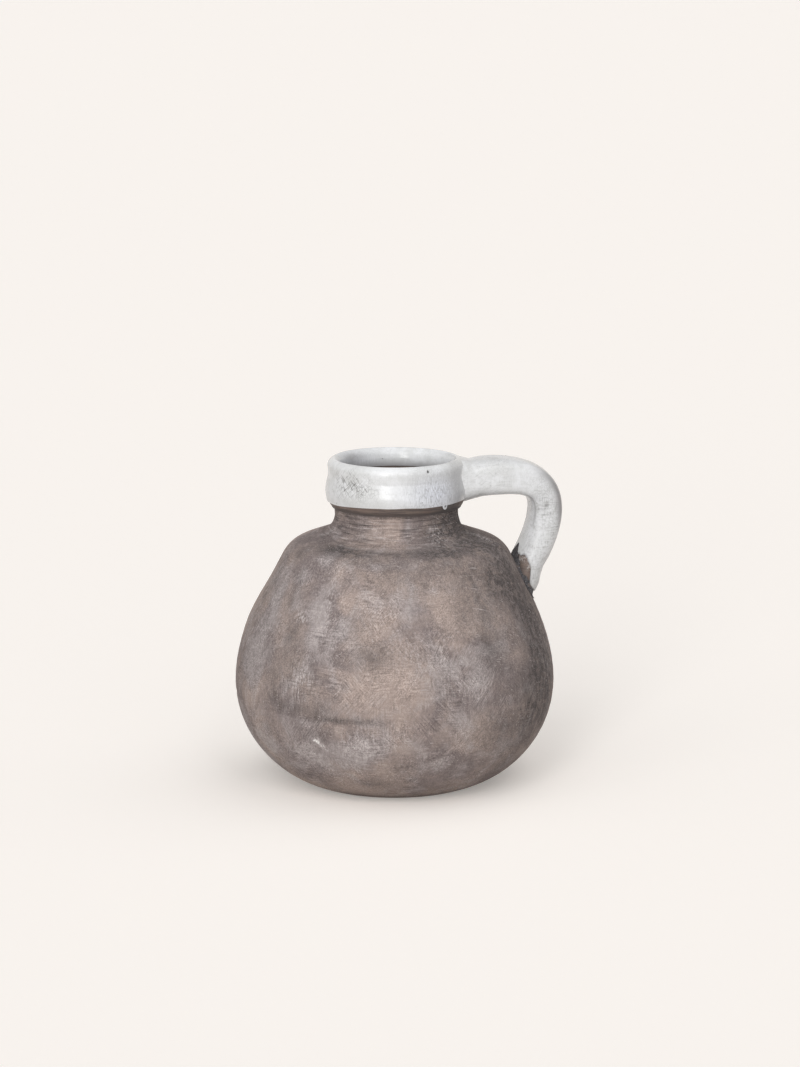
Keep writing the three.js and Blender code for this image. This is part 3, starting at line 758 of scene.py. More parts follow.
# Charcoal smudges; those at azimuths of about -60 to 0, on the right side of the body and neck, are
# painted shade of the side that turns away from the lamps.
SOOT_AND_SHADE_MARKS = (
    (-178, 92, 26, 60, 0.3), (-172, 120, 8, 18, 0.5), (-146, 78, 7, 13, 0.6), (-133, 80, 10, 13, 0.5),
    (-146, 64, 8, 6, 0.15), (-133, 62, 18, 3.5, 0.6), (-126, 67, 8, 7, 0.3), (-139, 87, 5, 5, 0.5),
    (-119, 105, 6, 5, 0.15), (-85, 134, 8, 8, 0.35), (-90, 96, 7, 7, 0.35), (-70, 115, 6, 7, 0.5),
    (-63, 138, 12, 9, 0.5), (-142, 104, 7, 11, 0.75), (-150, 126, 6, 13, 0.45), (-150, 45, 7, 6, 0.5),
    (-161, 146, 9, 4, 0.9), (-136, 151, 28, 2.4, 1.3), (-116, 148, 30, 3.5, 0.6),
    (-98, 151, 50, 1.5, 0.6), (-72, 150, 34, 2.5, 0.7), (-66, 157, 22, 7, 1.0), (-142, 162, 38, 6, 0.5),
    (-28, 158, 40, 12, 1.5), (-38, 165, 36, 8, 1.0), (-106, 96, 13, 8, 0.8), (-60, 96, 7, 8, 0.4),
    (-112, 114, 8, 9, 0.35), (-100, 139, 18, 7, 0.55), (-96, 27, 12, 6, 0.4), (-104, 15, 14, 5, 0.7),
    (-128, 47, 10, 4, 0.4), (-80, 76, 7, 12, 0.4), (-77, 144, 24, 5, 0.5), (-67, 126, 9, 9, 0.5),
    (-57, 110, 11, 28, 0.6), (-60, 48, 14, 13, 0.6), (-46, 132, 16, 14, 1.0), (-35, 119, 12, 18, 0.4),
    (-30, 134, 14, 12, 0.75), (-42, 60, 14, 20, 0.7), (-44, 35, 18, 20, 0.4), (-28, 84, 19, 50, 1.2),
    (-6, 90, 46, 62, 0.75), (0, 128, 20, 17, 0.9),
)
CHALK_MARKS = (
    (-134, 79, 7, 11, 0.8), (-128.4, 44.0, 1.5, 1.1, 2.8), (-127.0, 42.4, 1.5, 1.1, 2.6),
    (-125.4, 40.6, 1.6, 1.0, 2.1), (-123.8, 38.4, 1.4, 1.2, 1.6), (-129.8, 34.4, 1.9, 1.1, 1.7),
    (-127.6, 33.2, 1.8, 1.0, 1.4), (-133.0, 38.0, 1.2, 2.2, 1.0), (-139, 114, 5, 3, 1.2),
    (-110, 42, 11, 9, 1.0), (-128, 120, 5, 14, 0.8), (-62, 157, 16, 5, 0.6), (-17, 152, 8, 3, 1.0),
    (100, 60, 12, 14, 0.6), (150, 85, 14, 16, 0.5),
)
VEIL_MARKS = (
    (-132, 124, 9, 15, 1.2), (-159, 104, 9, 22, 1.0), (-150, 137, 8, 6, 0.8), (-164, 83, 13, 13, 1.0),
    (-138, 71, 8, 10, 0.6), (-130, 104, 8, 14, 1.5), (-160, 125, 5, 7, 0.8), (-120, 113, 6, 8, 1.1),
    (-122, 42, 6, 8, 0.4), (-69, 25, 8, 6, 0.8), (-88, 161, 8, 8, 0.6), (-130, 54, 8, 4, 0.7),
    (-110, 40, 12, 11, 1.8), (-124, 33, 18, 9, 0.7), (-150, 33, 16, 8, 0.7), (-172, 27, 14, 12, 1.0),
    (-138, 146, 10, 5, 0.8), (-108, 145, 34, 2.6, 0.5), (-90, 122, 9, 10, 0.6), (-68, 80, 10, 13, 1.3),
    (-80, 28, 12, 8, 0.9), (-32, 142, 16, 7, 0.4),
)
WARM_MARKS = (
    (-113, 122, 20, 10, 0.7), (-98, 80, 18, 12, 0.8), (-76, 124, 18, 8, 0.35), (-108, 27, 16, 6, 0.5),
    (-103, 160, 16, 9, 1.0), (-118, 72, 8, 10, 0.6),
)
CREASE = (-95, 189.3, 26, 1.0)
FULLER_BAND = (-92, 193, 46, 5)
# Painted shade on the collar's seat at its right end.
SHADED_SEAT = (-44, 173, 26, 9)
BUBBLE_HOLE = (-69, 197, 0.9, 1.1)
DROP_AZIMUTH = -53
WEB = (-126, 186, 11, 6)
DIAMOND = (-141, 188, 13, 7.5)
CRAZE = (-60, 183, 20, 12)
# The grey on the left only greys the collar's left side; the grey on the right end, next to the handle, is
# painted shade.
GREY_LEFT = (-158, 183, 20, 14)
SHADED_RIGHT_END = (-36, 183, 10, 15)
# Painted shade inside the mouth: a cool tint on the left, a darkening that begins higher on the left, and
# a dark band under the lip on the far left.
COOL_SHADE_INSIDE = (140, 194, 24, 8)
DEEP_SHADE = (152, 0, 20, 1)
HIGH_SHADE = (133, 0, 10, 1)


def marks_at(angle, height, marks):
    """The sum of soft round marks from a list."""
    return sum(mark[4] * lump(angle, height, mark[:4]) for mark in marks)


def hand_marks(s, angle, height):
    """How far the outside lies inside its ideal form: wide dents, finger rings that come and go,
    and a groove along the girth seam that fades out in places."""
    dents = s.dent * (1.1 + wander("dents", angle, height)) * smooth(0.0, 0.02, height)
    dents = dents + marks_at(angle, height, WALL_DENTS) * MM
    rings = np.sin(2 * np.pi * height / s.ring_spacing + 2.2 * wander("rings", angle, height))
    shown = s.ring + s.neck_ring * smooth(s.shoulder_height, s.neck_root, height)
    shown = shown * (0.6 + 0.4 * wander("ring depth", angle, height))
    seam_height = s.girth_seam + s.groove_wave * wander("seam height", angle)
    groove = s.groove * smooth(-0.35, 0.45, wander("seam depth", angle))
    groove = groove * bell(height, seam_height, s.groove_wide)
    return dents + (0.5 + 0.5 * rings) * shown + groove


def grid_of(profile, columns):
    """The angles, radii and heights of a profile turned about the axis, as rows of rings."""
    angle = np.linspace(0, 2 * np.pi, columns, endpoint=False)[None, :] + np.zeros((len(profile), 1))
    return angle, profile[:, :1] + 0 * angle, profile[:, 1:] + 0 * angle


def body_fields(s, angle, height):
    """Where charcoal smudges and painted shade, chalk, pale veils and warm clay lie on the body: the
    listed marks, of which those on the right side paint its shade, a broken dark line in the girth seam,
    painted shade on the neck just under the collar, darker clay towards the foot, and wandering patches on
    the far side."""
    far_side = 0.5 + 0.5 * np.cos(angle - math.radians(80))
    seam_level = s.girth_seam / MM + 1
    in_seam = lump(angle, height, (-120, seam_level, 42, 2.2))
    in_seam = in_seam + lump(angle, height, (-50, seam_level, 26, 1.5))
    soot = marks_at(angle, height, SOOT_AND_SHADE_MARKS)
    soot = soot + 0.9 * (0.2 + smooth(-0.3, 0.5, wander("seam soot", angle))) * in_seam
    soot = soot + 0.7 * far_side * smooth(0.1, 0.9, wander("soot", angle, height))
    # Darker towards the foot, and painted shade on the neck just under the collar.
    soot = soot + 0.55 * smooth(8 * MM, 0.0, height) + 0.6 * smooth(2.5 * MM, 0.0, s.neck_top - height)
    chalk = 0.10 + 0.25 * smooth(0.1, 0.9, wander("chalk", angle, height))
    veil = 0.6 * far_side * smooth(0.0, 0.9, wander("veil", angle, height))
    return {
        "soot": np.clip(soot, 0, 1.5),
        "chalk": np.clip(chalk + marks_at(angle, height, CHALK_MARKS), 0, 2.8),
        "veil": np.clip(veil + marks_at(angle, height, VEIL_MARKS), 0, 1.6),
        "warm": np.clip(marks_at(angle, height, WARM_MARKS), 0, 1.0),
        "level": smooth(s.shoulder_height + 2 * MM, s.neck_root, height),
    }


def wall(s, name, node, before, outside, after, poles=None):
    """A turned piece of the body: rows before its outside, the outside with the marks of the hand,
    and the rows after it."""
    profile = np.vstack([before, outside, after])
    angle, radius, height = grid_of(profile, BODY_COLUMNS)
    row = np.arange(len(profile))[:, None] - len(before)
    radius = radius - hand_marks(s, angle, height) * ((row >= 0) & (row < len(outside)))
    piece = surface(name, thrown(s, radius, angle, height), poles, body_fields(s, angle, height))
    place(piece, node, "washed_terracotta")


class JUG_OT_bowl(bpy.types.Operator):
    """Throws the bowl: flat foot, floor and wall up to the girth seam"""

    bl_idname = "jug.bowl"
    bl_label = "Bowl"

    def execute(self, context):
        s = context.scene.jug_body
        line = body_line(s)
        inner = beside(line, s.wall)
        corner_height = s.floor + s.floor_rounding
        inner = inner[inner[:, 1] > 0]
        reach = np.interp(corner_height, inner[:, 1], inner[:, 0])
        bend = np.interp(s.floor + MM, inner[:, 1], inner[:, 0])
        corner = [(reach, corner_height), (bend, s.floor), (reach - 2 * s.floor_rounding, s.floor)]
        corner = bezier(corner, FLOOR_POINTS)
        foot = evenly(np.array([[POLE_HOLE, 0.0], [s.foot_radius, 0.0]]), FLAT_STEP)
        outside = evenly(cut(line, 0.0, s.girth_seam), ROW_STEP)
        inside = evenly(cut(inner, corner_height, s.girth_seam), INNER_STEP)[::-1]
        floor = evenly(np.array([corner[-1], [POLE_HOLE, s.floor]]), FLAT_STEP)
        poles = np.array([[0.0, 0.0, 0.0], [0.0, 0.0, s.floor]])
        after = np.vstack([inside, corner[1:], floor[1:]])
        wall(s, "bowl", "lower_bowl", foot[:-1], outside, after, poles)
        return {"FINISHED"}


class JUG_OT_dome(bpy.types.Operator):
    """Throws the dome and the neck, two rings of the wall over the bowl"""

    bl_idname = "jug.dome"
    bl_label = "Dome and neck"

    def execute(self, context):
        s = context.scene.jug_body
        line = body_line(s)
        dome = ("dome", "upper_dome", s.girth_seam, s.neck_seam)
        throat = ("throat", "neck", s.neck_seam, s.neck_top)
        for name, node, low, high in (dome, throat):
            outside = evenly(cut(line, low, high), ROW_STEP)
            inside = evenly(cut(beside(line, s.wall), low, high), INNER_STEP)[::-1]
            wall(s, name, node, outside[:0], outside, inside)
        return {"FINISHED"}


def collar_line(c, s):
    """The collar's section in glaze: one smooth curve through its named points, up the outside,
    over the lip and down the inside."""
    lip_wide = c.lip_radius - c.mouth_radius
    points = [
        (c.seat_radius, s.neck_top),
        (c.shoulder_radius, c.shoulder_height),
        (c.bulge_radius, c.bulge_height),
        (c.band_radius, c.band_height),
        (c.band_radius, c.rim_height - c.lip_depth),
        (c.lip_radius, c.rim_height),
        *((c.mouth_radius + a * lip_wide, c.rim_height - b * c.lip_inside) for a, b in LIP_POINTS),
        (c.mouth_radius, c.band_height),
        (s.neck_radius - s.wall, s.neck_top),
    ]
    return through(points, CORNER_POINTS)


def over_the_lip(line, low_outside, low_inside, step):
    """The collar's section from one height outside, over the lip, to another height inside."""
    crest = int(np.argmax(line[:, 1]))
    top = line[crest, 1]
    outside = evenly(cut(line[: crest + 1], low_outside, top), step)
    inside = evenly(cut(line[crest:][::-1], low_inside, top), step)[::-1]
    return np.vstack([outside, inside[1:]])


def mouth_lean(c, angle, radius, height):
    """How much wider the mouth is towards the handle: it grows from the crest of the lip inwards."""
    inwards = smooth(c.lip_radius, c.mouth_radius + MM, radius)
    return MOUTH_SPREAD * inwards * np.maximum(np.cos(angle), 0) * smooth(*MOUTH_HEIGHTS, height)


def collar_marks(angle, height):
    """How far the collar's glaze lies inside its ideal form: slow dents left by the fingers that
    rolled it, the smaller waves of the melt, a crease, and a fuller band over it."""
    dents = 0.22 * (1 + wander("collar dents", angle, height))
    waves = 0.03 * (1 + wander("melt", angle, height))
    crease = 0.25 * lump(angle, height, CREASE, AT_COLLAR)
    return (dents + waves + crease - 0.62 * lump(angle, height, FULLER_BAND, AT_COLLAR)) * MM


def collar_clay(s, c):
    """The rolled clay: the glaze's section moved in by the glaze's thickness and turned."""
    profile = over_the_lip(beside(collar_line(c, s), c.glaze), s.neck_top, s.neck_top, CLAY_STEP)
    angle, radius, height = grid_of(profile, COLLAR_COLUMNS)
    radius = radius + mouth_lean(c, angle, radius, height)
    radius = radius - collar_marks(angle, height) * (radius > c.lip_radius)
    # Painted shade: darker towards the collar's lower edge, where it tucks into the neck, and at its right
    # end.
    soot = 0.85 * smooth(3.2 * MM, 0.4 * MM, height - s.neck_top)
    soot = soot + 0.9 * lump(angle, height, SHADED_SEAT)
    fields = {"soot": np.clip(soot, 0, 1)}
    piece = surface("collar_clay", thrown(s, radius, angle, height), None, fields)
    place(piece, "rim_collar", "bare_terracotta")


def collar_coat(s, c):
    """The glaze: the collar's section turned, with a wavy lower edge that hangs in one drop, and a
    burst bubble."""
    outer = over_the_lip(collar_line(c, s), c.glaze_line, c.inner_line, COAT_STEP)
    profile = np.vstack([outer, beside(outer, c.glaze)[::-CLAY_SKIP]])
    angle, radius, height = grid_of(profile, COLLAR_COLUMNS)
    outside = np.arange(len(profile))[:, None] < np.argmax(profile[:, 1])
    inside = 1 - outside
    from_edge = np.clip(1 - (height - c.glaze_line) / (5 * MM), 0, 1)
    edge_wave = 0.5 * MM * wander("glaze edge", angle) + 0.9 * MM * np.cos(angle + 0.35)
    height = height + edge_wave * from_edge * (height < c.bulge_height)
    radius = radius + mouth_lean(c, angle, radius, height) * inside
    radius = radius - collar_marks(angle, height) * outside
    hole = lump(angle, height, BUBBLE_HOLE, AT_BAND)
    radius = radius - 0.6 * MM * hole * outside
    around = angle - math.radians(DROP_AZIMUTH)
    across = np.sin(around) * c.lip_radius / (1.8 * MM)
    drop = np.sqrt(np.clip(1 - across**2, 0, 1)) * (np.cos(around) > 0)
    height = height - 2.4 * MM * drop * from_edge**2 * outside
    bubble = lump(angle, height, (DROP_AZIMUTH, c.glaze_line / MM + 0.1, 0.9, 0.9), AT_COLLAR)
    # Painted shade inside the mouth, drawn in the grey of thin glaze: darker downwards from a line that
    # rises on the left, and under the lip on the far left.
    shade_top = (194.0 + 4.5 * lump(angle, 0, DEEP_SHADE, AT_MOUTH)) * MM
    shaded = 0.55 * lump(angle, 0, HIGH_SHADE, AT_MOUTH) * smooth(200 * MM, 197 * MM, height)
    shaded = np.maximum(shaded, 0.9 * smooth(shade_top, 188.6 * MM, height))
    spots = (WEB, DIAMOND, CRAZE, GREY_LEFT, SHADED_RIGHT_END)
    web, diamond, craze, left, right = (lump(angle, height, spot, AT_COLLAR) for spot in spots)
    # A painted cool tint in that shade, on the inner left.
    cool = 0.4 * lump(angle, height, COOL_SHADE_INSIDE, AT_MOUTH) * inside
    fields = {
        "stain": 0.03 + 0.8 * web + 0.20 * smooth(0.1, 0.9, wander("stain", angle, height)),
        "craze": np.clip(0.05 + 0.9 * craze * outside + cool, 0, 1),
        "hatch": 0.10 + 0.3 * craze + 0.2 * diamond,
        "diamond": 0.72 * diamond * outside,
        "pinhole": smooth(0.35, 0.75, np.maximum(hole, bubble)) * outside,
        # Painted shade on the collar's right end, next to the handle; the left side is only greyed.
        "thin": shaded * inside + (0.16 * left + 0.6 * right) * outside,
    }
    piece = surface("collar_coat", thrown(s, radius, angle, height), None, fields)
    place(piece, "collar_glaze", "white_glaze")


class JUG_OT_collar(bpy.types.Operator):
    """Rolls the collar of clay over the neck and coats it with glaze"""

    bl_idname = "jug.collar"
    bl_label = "Collar and its glaze"

    def execute(self, context):
        collar_clay(context.scene.jug_body, context.scene.jug_collar)
        collar_coat(context.scene.jug_body, context.scene.jug_collar)
        return {"FINISHED"}


# Places round the handle's section: the turn in degrees (0 outwards, 180 towards the neck, 270
# towards the camera), and the half width in radians.
BARE_PATCH = (252, 0.52)
CHIP = (213, 0.14)
TORN_RIM = (224, 0.4)
# A painted glint on the bare clay:
PAINTED_GLINT = (264, 0.06)
FACE = (252, 0.5)
RIDGE = (226, 0.09)
SLIP_SPIKE = (189, 0.17)
SLIP_FOOT = (205, 0.24)
SLIP_WAIST = (245, 0.34)
NECK_SIDE = (176, 0.5)


def at_turn(turn, place_round, power=2):
    """A bell-shaped value round the handle's section."""
    return bell(turn, np.radians(place_round[0]), place_round[1], power)


def unit(vectors, plane=slice(None)):
    """Vectors at length 1, or with length 1 in a plane of some of their axes."""
    return vectors / np.linalg.norm(vectors[..., plane], axis=-1, keepdims=True)


def handle_path(h, s):
    """The handle's centreline in the plane through the axis: level out of the collar, over the
    crown, down past the bend to the dome, and straight on into the wall. Three cubic curves."""
    root_radius = np.interp(h.root_height, body_line(s)[:, 1], body_line(s)[:, 0])
    start = np.array([h.start_reach - h.flare_run / 2, h.top_height])
    crown = np.array([h.crown_reach, h.crown_height])
    bend = np.array([h.reach, h.bend_height])
    root = np.array([root_radius, h.root_height])
    out = np.array([(h.reach - h.crown_reach) * h.crown_full, 0.0])
    up = np.array([0.0, (h.crown_height - h.bend_height) * h.bend_full])
    fall = (h.bend_height - h.root_height) / 3
    lean = math.radians(h.root_lean)
    back = np.array([math.sin(lean), math.cos(lean)])
    arm = bezier([start, start + out, crown - out, crown], ARM_POINTS)
    turn = bezier([crown, crown + out, bend + up, bend], ARM_POINTS)
    leg = bezier([bend, bend - (0, fall), root + back * fall, root], LINE_POINTS)
    path = np.vstack([arm, turn[1:], leg[1:]])
    total = run_of(path)[-1]
    return softened(np.vstack([path, root - back * h.run_on]), *HANDLE_SOFTENING), total


def handle_surface(h, s, grow, columns):
    """The handle's skin as a function of the distance along it and the angle round it: a squarish
    oval carried along the centreline, with its thickness and width changing on the way."""
    path, total = handle_path(h, s)
    run = run_of(path)
    along = unit(np.gradient(path, axis=0))
    outwards = np.stack([-along[:, 1], along[:, 0]], axis=1)
    part = np.clip(run / total, 0, 1)
    flare = h.flare * np.clip(1 - run / h.flare_run, 0, 1)
    slim, swell = smooth(0, 0.55, part), smooth(0.55, 1, part)
    deep = (h.arm_deep + flare) * (1 - slim) + h.bend_deep * slim
    deep = deep * (1 - swell) + h.tip_deep * swell
    wide = (h.wide + flare) * (1 - swell) + h.tip_wide * swell
    inner_deep = 1 - 0.16 * smooth(0.88, 0.97, part)[:, None]
    beyond = np.clip((run - total) / h.run_on, 0, 1)
    deep = deep * np.maximum(np.sqrt(1 - beyond**2), 0.4)
    turn = np.linspace(0, 2 * np.pi, columns, endpoint=False)
    square = h.collar_square + (h.bend_square - h.collar_square) * smooth(0.0, 0.35, part)
    square = square + (h.tip_square - square) * smooth(0.45, 0.85, part)
    power = 2 / square[:, None]
    c, w = (np.sign(wave) * np.abs(wave) ** power for wave in (np.cos(turn), np.sin(turn)))
    dents = 0.22 * MM * (1 + wander("strap dents", turn[None, :], run[:, None]))
    reach = (deep[:, None] * np.where(c < 0, inner_deep, 1) + grow - dents) * c
    side = (wide[:, None] + grow - dents) * w
    x = path[:, :1] + outwards[:, :1] * reach
    z = path[:, 1:] + outwards[:, 1:] * reach
    return np.stack([x + drift_at(s, z), side, z], axis=-1), run, turn


def clearance(s, points):
    """How far points lie outside the body, measured level."""
    line = body_line(s)
    radius = np.hypot(points[..., 0] - drift_at(s, points[..., 2]), points[..., 1])
    return radius - np.interp(points[..., 2], line[:, 1], line[:, 0])


def at_run(grid, run, where):
    """The points of a skin at a distance along it that differs from column to column."""
    step = run[1] - run[0]
    index = np.clip(where / step, 0, len(run) - 1.001)
    low = index.astype(int)
    rest = (index - low)[..., None]
    column = np.arange(grid.shape[1])[None, :] + 0 * low
    return grid[low, column] * (1 - rest) + grid[low + 1, column] * rest


def run_where_clear(grid, run, s, gap):
    """For each column of a skin, how far along it comes within a gap of the body."""
    near = (clearance(s, grid) < gap) & (run[:, None] > LEG_START)
    return run[np.argmax(near, axis=0)]


def bare_gap(turn):
    """How far the glaze stops short of the body round the handle: more where it shows a bare
    patch and a chipped spot beside it, with a ragged edge."""
    patch, chip = at_turn(turn, BARE_PATCH, 4), at_turn(turn, CHIP)
    ragged = (0.35 + 0.6 * chip + 0.35 * patch) * wander("glaze end", turn)
    return (2.0 + 6.8 * patch + 3.2 * chip + ragged) * MM


def collar_reach(c, s, height, side):
    """How far the collar reaches out towards the handle at a height and a side offset: its glaze,
    or the clay under the glaze's edge, with the same dents as the collar itself."""
    line = collar_line(c, s)
    crest = int(np.argmax(line[:, 1]))
    ideal = np.interp(height, line[: crest + 1, 1], line[: crest + 1, 0])
    ideal = ideal - c.glaze * smooth(c.glaze_line + MM, c.glaze_line, height)
    angle = np.arcsin(np.clip(side / ideal, -1, 1))
    return thrown(s, ideal - collar_marks(angle, height), angle, height)[..., 0]


def handle_clay(s, c, h):
    """The strap of clay: the handle's skin moved in by the glaze's thickness, from inside the
    collar to inside the dome's wall."""
    clay, _, turn = handle_surface(h, s, -c.glaze, HANDLE_COLUMNS)
    inside_collar = (c.lip_radius + c.band_radius) / 2
    rows = clay[clay[..., 0].mean(axis=1) > inside_collar][::CLAY_SKIP]
    poles = np.stack([rows[0].mean(axis=0), rows[-1].mean(axis=0)])
    rows, turn = rows[:, ::-1], turn[::-1]
    clear = clearance(s, rows)
    torn = bell(bare_gap(turn) - clear, 1.4 * MM, 1.3 * MM) * at_turn(turn, TORN_RIM)
    # A painted glint on the bare patch, drawn with the pale flecks.
    painted_glint = at_turn(turn, PAINTED_GLINT) * bell(clear, 6.6 * MM, MM)
    # Darker close to the body: painted shade where the handle meets the wall.
    fields = {"soot": 0.8 * smooth(3.5 * MM, 0.5 * MM, clear), "torn": torn + painted_glint}
    place(surface("handle_clay", rows, poles, fields), "handle", "bare_terracotta")


def into_collar(c, s, h, first):
    """The glaze that fills the corner between collar and handle: rows that leave the collar's
    surface in a quarter circle and arrive on the first row of the strap."""
    rows = np.linspace(0, 1, FILLET_ROWS, endpoint=False)[:, None] * np.pi / 2
    away = unit(first - first.mean(axis=1, keepdims=True), slice(1, None))
    grow = h.fillet * (1 - np.sin(rows)) * (0.8 + 0.3 * away[..., 2])
    height = np.minimum(first[..., 2] + away[..., 2] * grow, c.rim_height - 0.9 * MM)
    side = first[..., 1] + away[..., 1] * grow
    reach = collar_reach(c, s, height, side) - 0.15 * MM + h.fillet * (1 - np.cos(rows))
    return np.stack([reach, side, height], axis=-1)


def strap_fields(turn, along, left, rows_before):
    """What the glaze on the strap shows, by the turn round it and the distance along it: cracks in
    clusters, with fewer cracks and less dust on the face towards the neck as painted light against its
    shade, painted shade on the outer edge, which turns away from the lamps, thin glaze on a ridge, a
    greyer face towards the lower end, and thin glaze at the glaze's end."""
    clusters = bell(along, 26 * MM, 9 * MM) + bell(along, 73 * MM, 9 * MM)
    hatch = 0.13 + 0.18 * clusters + 0.28 * smooth(48 * MM, 66 * MM, along)
    # Fewer hatched cracks and less dust on the face towards the neck: painted light against the shade
    # there.
    hatch = hatch * (1 - 0.6 * smooth(-0.6, -0.95, np.cos(turn)))
    # Painted shade on the outer edge, which turns away from the lamps.
    shaded_outer_edge = smooth(-0.1, 0.75, np.cos(turn)) * (0.15 + 0.85 * smooth(38 * MM, 56 * MM, along))
    shaded_outer_edge = shaded_outer_edge * (1 - 0.85 * smooth(64 * MM, 77 * MM, along))
    face = at_turn(turn, FACE) * smooth(52 * MM, 66 * MM, along)
    ridge = at_turn(turn, RIDGE) * smooth(50 * MM, 60 * MM, along) * smooth(92 * MM, 80 * MM, along)
    fringe = 0.6 * smooth(1.6 * MM, 0.3 * MM, left)
    fringe = np.vstack([np.zeros((rows_before, left.shape[1])), fringe, fringe[::-STRAP_SKIP]])[:, ::-1]
    return {
        "stain": 0.05 + 0.3 * smooth(0.0, 0.9, wander("strap stain", turn, along)),
        "craze": 0.06 + 0.12 * smooth(0.2, 0.9, wander("strap craze", turn, along)),
        "hatch": hatch,
        # The grey of thin glaze, which also paints the shade on the outer edge.
        "thin": np.clip(np.maximum(shaded_outer_edge, 0.55 * ridge) + 0.22 * face + fringe, 0, 1),
        "diamond": 0.12 * smooth(44 * MM, 24 * MM, along),
    }


def handle_coat(s, c, h):
    """The glaze on the strap: from a fillet on the collar to a rounded, slightly swollen end that
    stops short of the dome, and back inside on the clay."""
    skin, run, turn = handle_surface(h, s, 0.0, HANDLE_COLUMNS)
    end = run_where_clear(skin, run, s, bare_gap(turn))
    body = COAT_START + (end - COAT_START)[None, :] * np.linspace(0, 1, STRAP_ROWS)[:, None]
    outer = at_run(skin, run, body)
    left = end[None, :] - body
    round_end = np.sqrt(1 - np.clip(1 - left / (2.5 * MM), 0, 1) ** 2)
    drop = 1.3 * smooth(12 * MM, 6 * MM, left) * round_end - 0.7 * bell(left, 17 * MM, 4 * MM)
    drop = drop * smooth(0.2, 0.9, np.cos(turn)) * MM
    outer = outer + unit(outer - outer.mean(axis=1, keepdims=True)) * drop[..., None]
    first = outer[:1].copy()
    fillet = into_collar(c, s, h, first)
    gap = collar_reach(c, s, first[..., 2], first[..., 1]) + h.fillet - first[..., 0]
    keep = smooth(0.0, 0.018, body - COAT_START)
    outer[..., 0] = np.where(keep < 1, outer[..., 0] + gap * (1 - keep), outer[..., 0])
    under, _, _ = handle_surface(h, s, -c.glaze, HANDLE_COLUMNS)
    back = body[::-STRAP_SKIP]
    grid = np.vstack([fillet, outer, at_run(under, run, back)])[:, ::-1]
    along = np.concatenate([np.zeros(len(fillet)), body.mean(axis=1), back.mean(axis=1)])
    fields = strap_fields(turn[::-1][None, :], along[:, None], left, len(fillet))
    place(surface("handle_coat", grid, None, fields), "handle_glaze", "white_glaze")


class JUG_OT_handle(bpy.types.Operator):
    """Pulls the strap handle of clay from the collar to the dome and coats it with glaze"""

    bl_idname = "jug.handle"
    bl_label = "Handle and its glaze"

    def execute(self, context):
        scene = context.scene
        handle_clay(scene.jug_body, scene.jug_collar, scene.jug_handle)
        handle_coat(scene.jug_body, scene.jug_collar, scene.jug_handle)
        return {"FINISHED"}


class JUG_OT_root_slip(bpy.types.Operator):
    """Smears the dark slip round the handle's root"""

    bl_idname = "jug.root_slip"
    bl_label = "Slip at the handle's root"

    def execute(self, context):
        s, h = context.scene.jug_body, context.scene.jug_handle
        skin, run, turn = handle_surface(h, s, 0.25 * MM, 2 * HANDLE_COLUMNS)
        climb = 2.6 + 5.4 * at_turn(turn, SLIP_SPIKE) + 1.4 * at_turn(turn, SLIP_FOOT)
        climb = (climb - 1.7 * at_turn(turn, SLIP_WAIST, 4) + 0.5 * wander("slip top", turn)) * MM
        touch = at_run(skin, run, run_where_clear(skin, run, s, 0.0)[None, :])[0]
        top = at_run(skin, run, run_where_clear(skin, run, s, climb)[None, :])[0]
        away = unit(touch - touch.mean(axis=0))
        spread = (1.4 + np.abs(wander("slip edge", turn))) * (1 - 0.6 * at_turn(turn, NECK_SIDE))
        low = touch + away * spread[:, None] * MM
        radius = np.interp(low[:, 2], body_line(s)[:, 1], body_line(s)[:, 0])
        angle = np.arctan2(low[:, 1], low[:, 0] - drift_at(s, low[:, 2]))
        low = thrown(s, radius, angle, low[:, 2])
        part = np.linspace(0, 1, SLIP_ROWS)[:, None, None]
        hug = 1 - (1 - part) ** 3 - part**3
        fillet = (1 - part) ** 3 * low + hug * (touch + away * 0.3 * MM) + part**3 * top
        lumpy = 0.25 + 0.25 * wander("slip lumps", turn, part[..., 0] * 0.01)[..., None]
        fillet = fillet + np.sin(np.pi * part) * lumpy * MM * away[None]
        inward = low - 1.2 * MM * np.array([1.0, 0.0, -0.3])
        under = np.stack([top - away * 1.2 * MM, touch - away * 1.6 * MM, inward])
        place(surface("root_slip", np.vstack([fillet, under])), "handle_pad", "dark_slip")
        return {"FINISHED"}


# ---- The stage


def aimed(location, target):
    """The matrix of a lamp or camera at a place, looking at another."""
    direction = Vector(target) - Vector(location)
    return Matrix.Translation(location) @ direction.to_track_quat("-Z", "Y").to_matrix().to_4x4()


def towards(azimuth, elevation):
    """The direction of an azimuth and an elevation in degrees. Azimuth 0 is -Y, the side that the
    photograph shows, whereas a mark's azimuth is 0 towards the handle."""
    a, e = math.radians(azimuth), math.radians(elevation)
    return Vector((math.sin(a) * math.cos(e), -math.cos(a) * math.cos(e), math.sin(e)))


def sun(name, azimuth, elevation, width, energy):
    """A distant round lamp of an angular width, so that the floor is lit evenly out to its end."""
    data = bpy.data.lights.new(name, "SUN")
    data.energy = energy
    data.angle = math.radians(width)
    light = bpy.data.objects.new(name, data)
    light.matrix_world = aimed(3 * towards(azimuth, elevation), (0, 0, 0))
    bpy.context.scene.collection.objects.link(light)


def seen_directly(add):
    """Whether a ray comes from the camera, or by a reflection or a glass that shows the paper."""
    rays = add("rays")
    seen = add("greater", rays["Is Camera Ray"], rays["Is Glossy Ray"])
    return add("greater", seen, rays["Is Transmission Ray"])


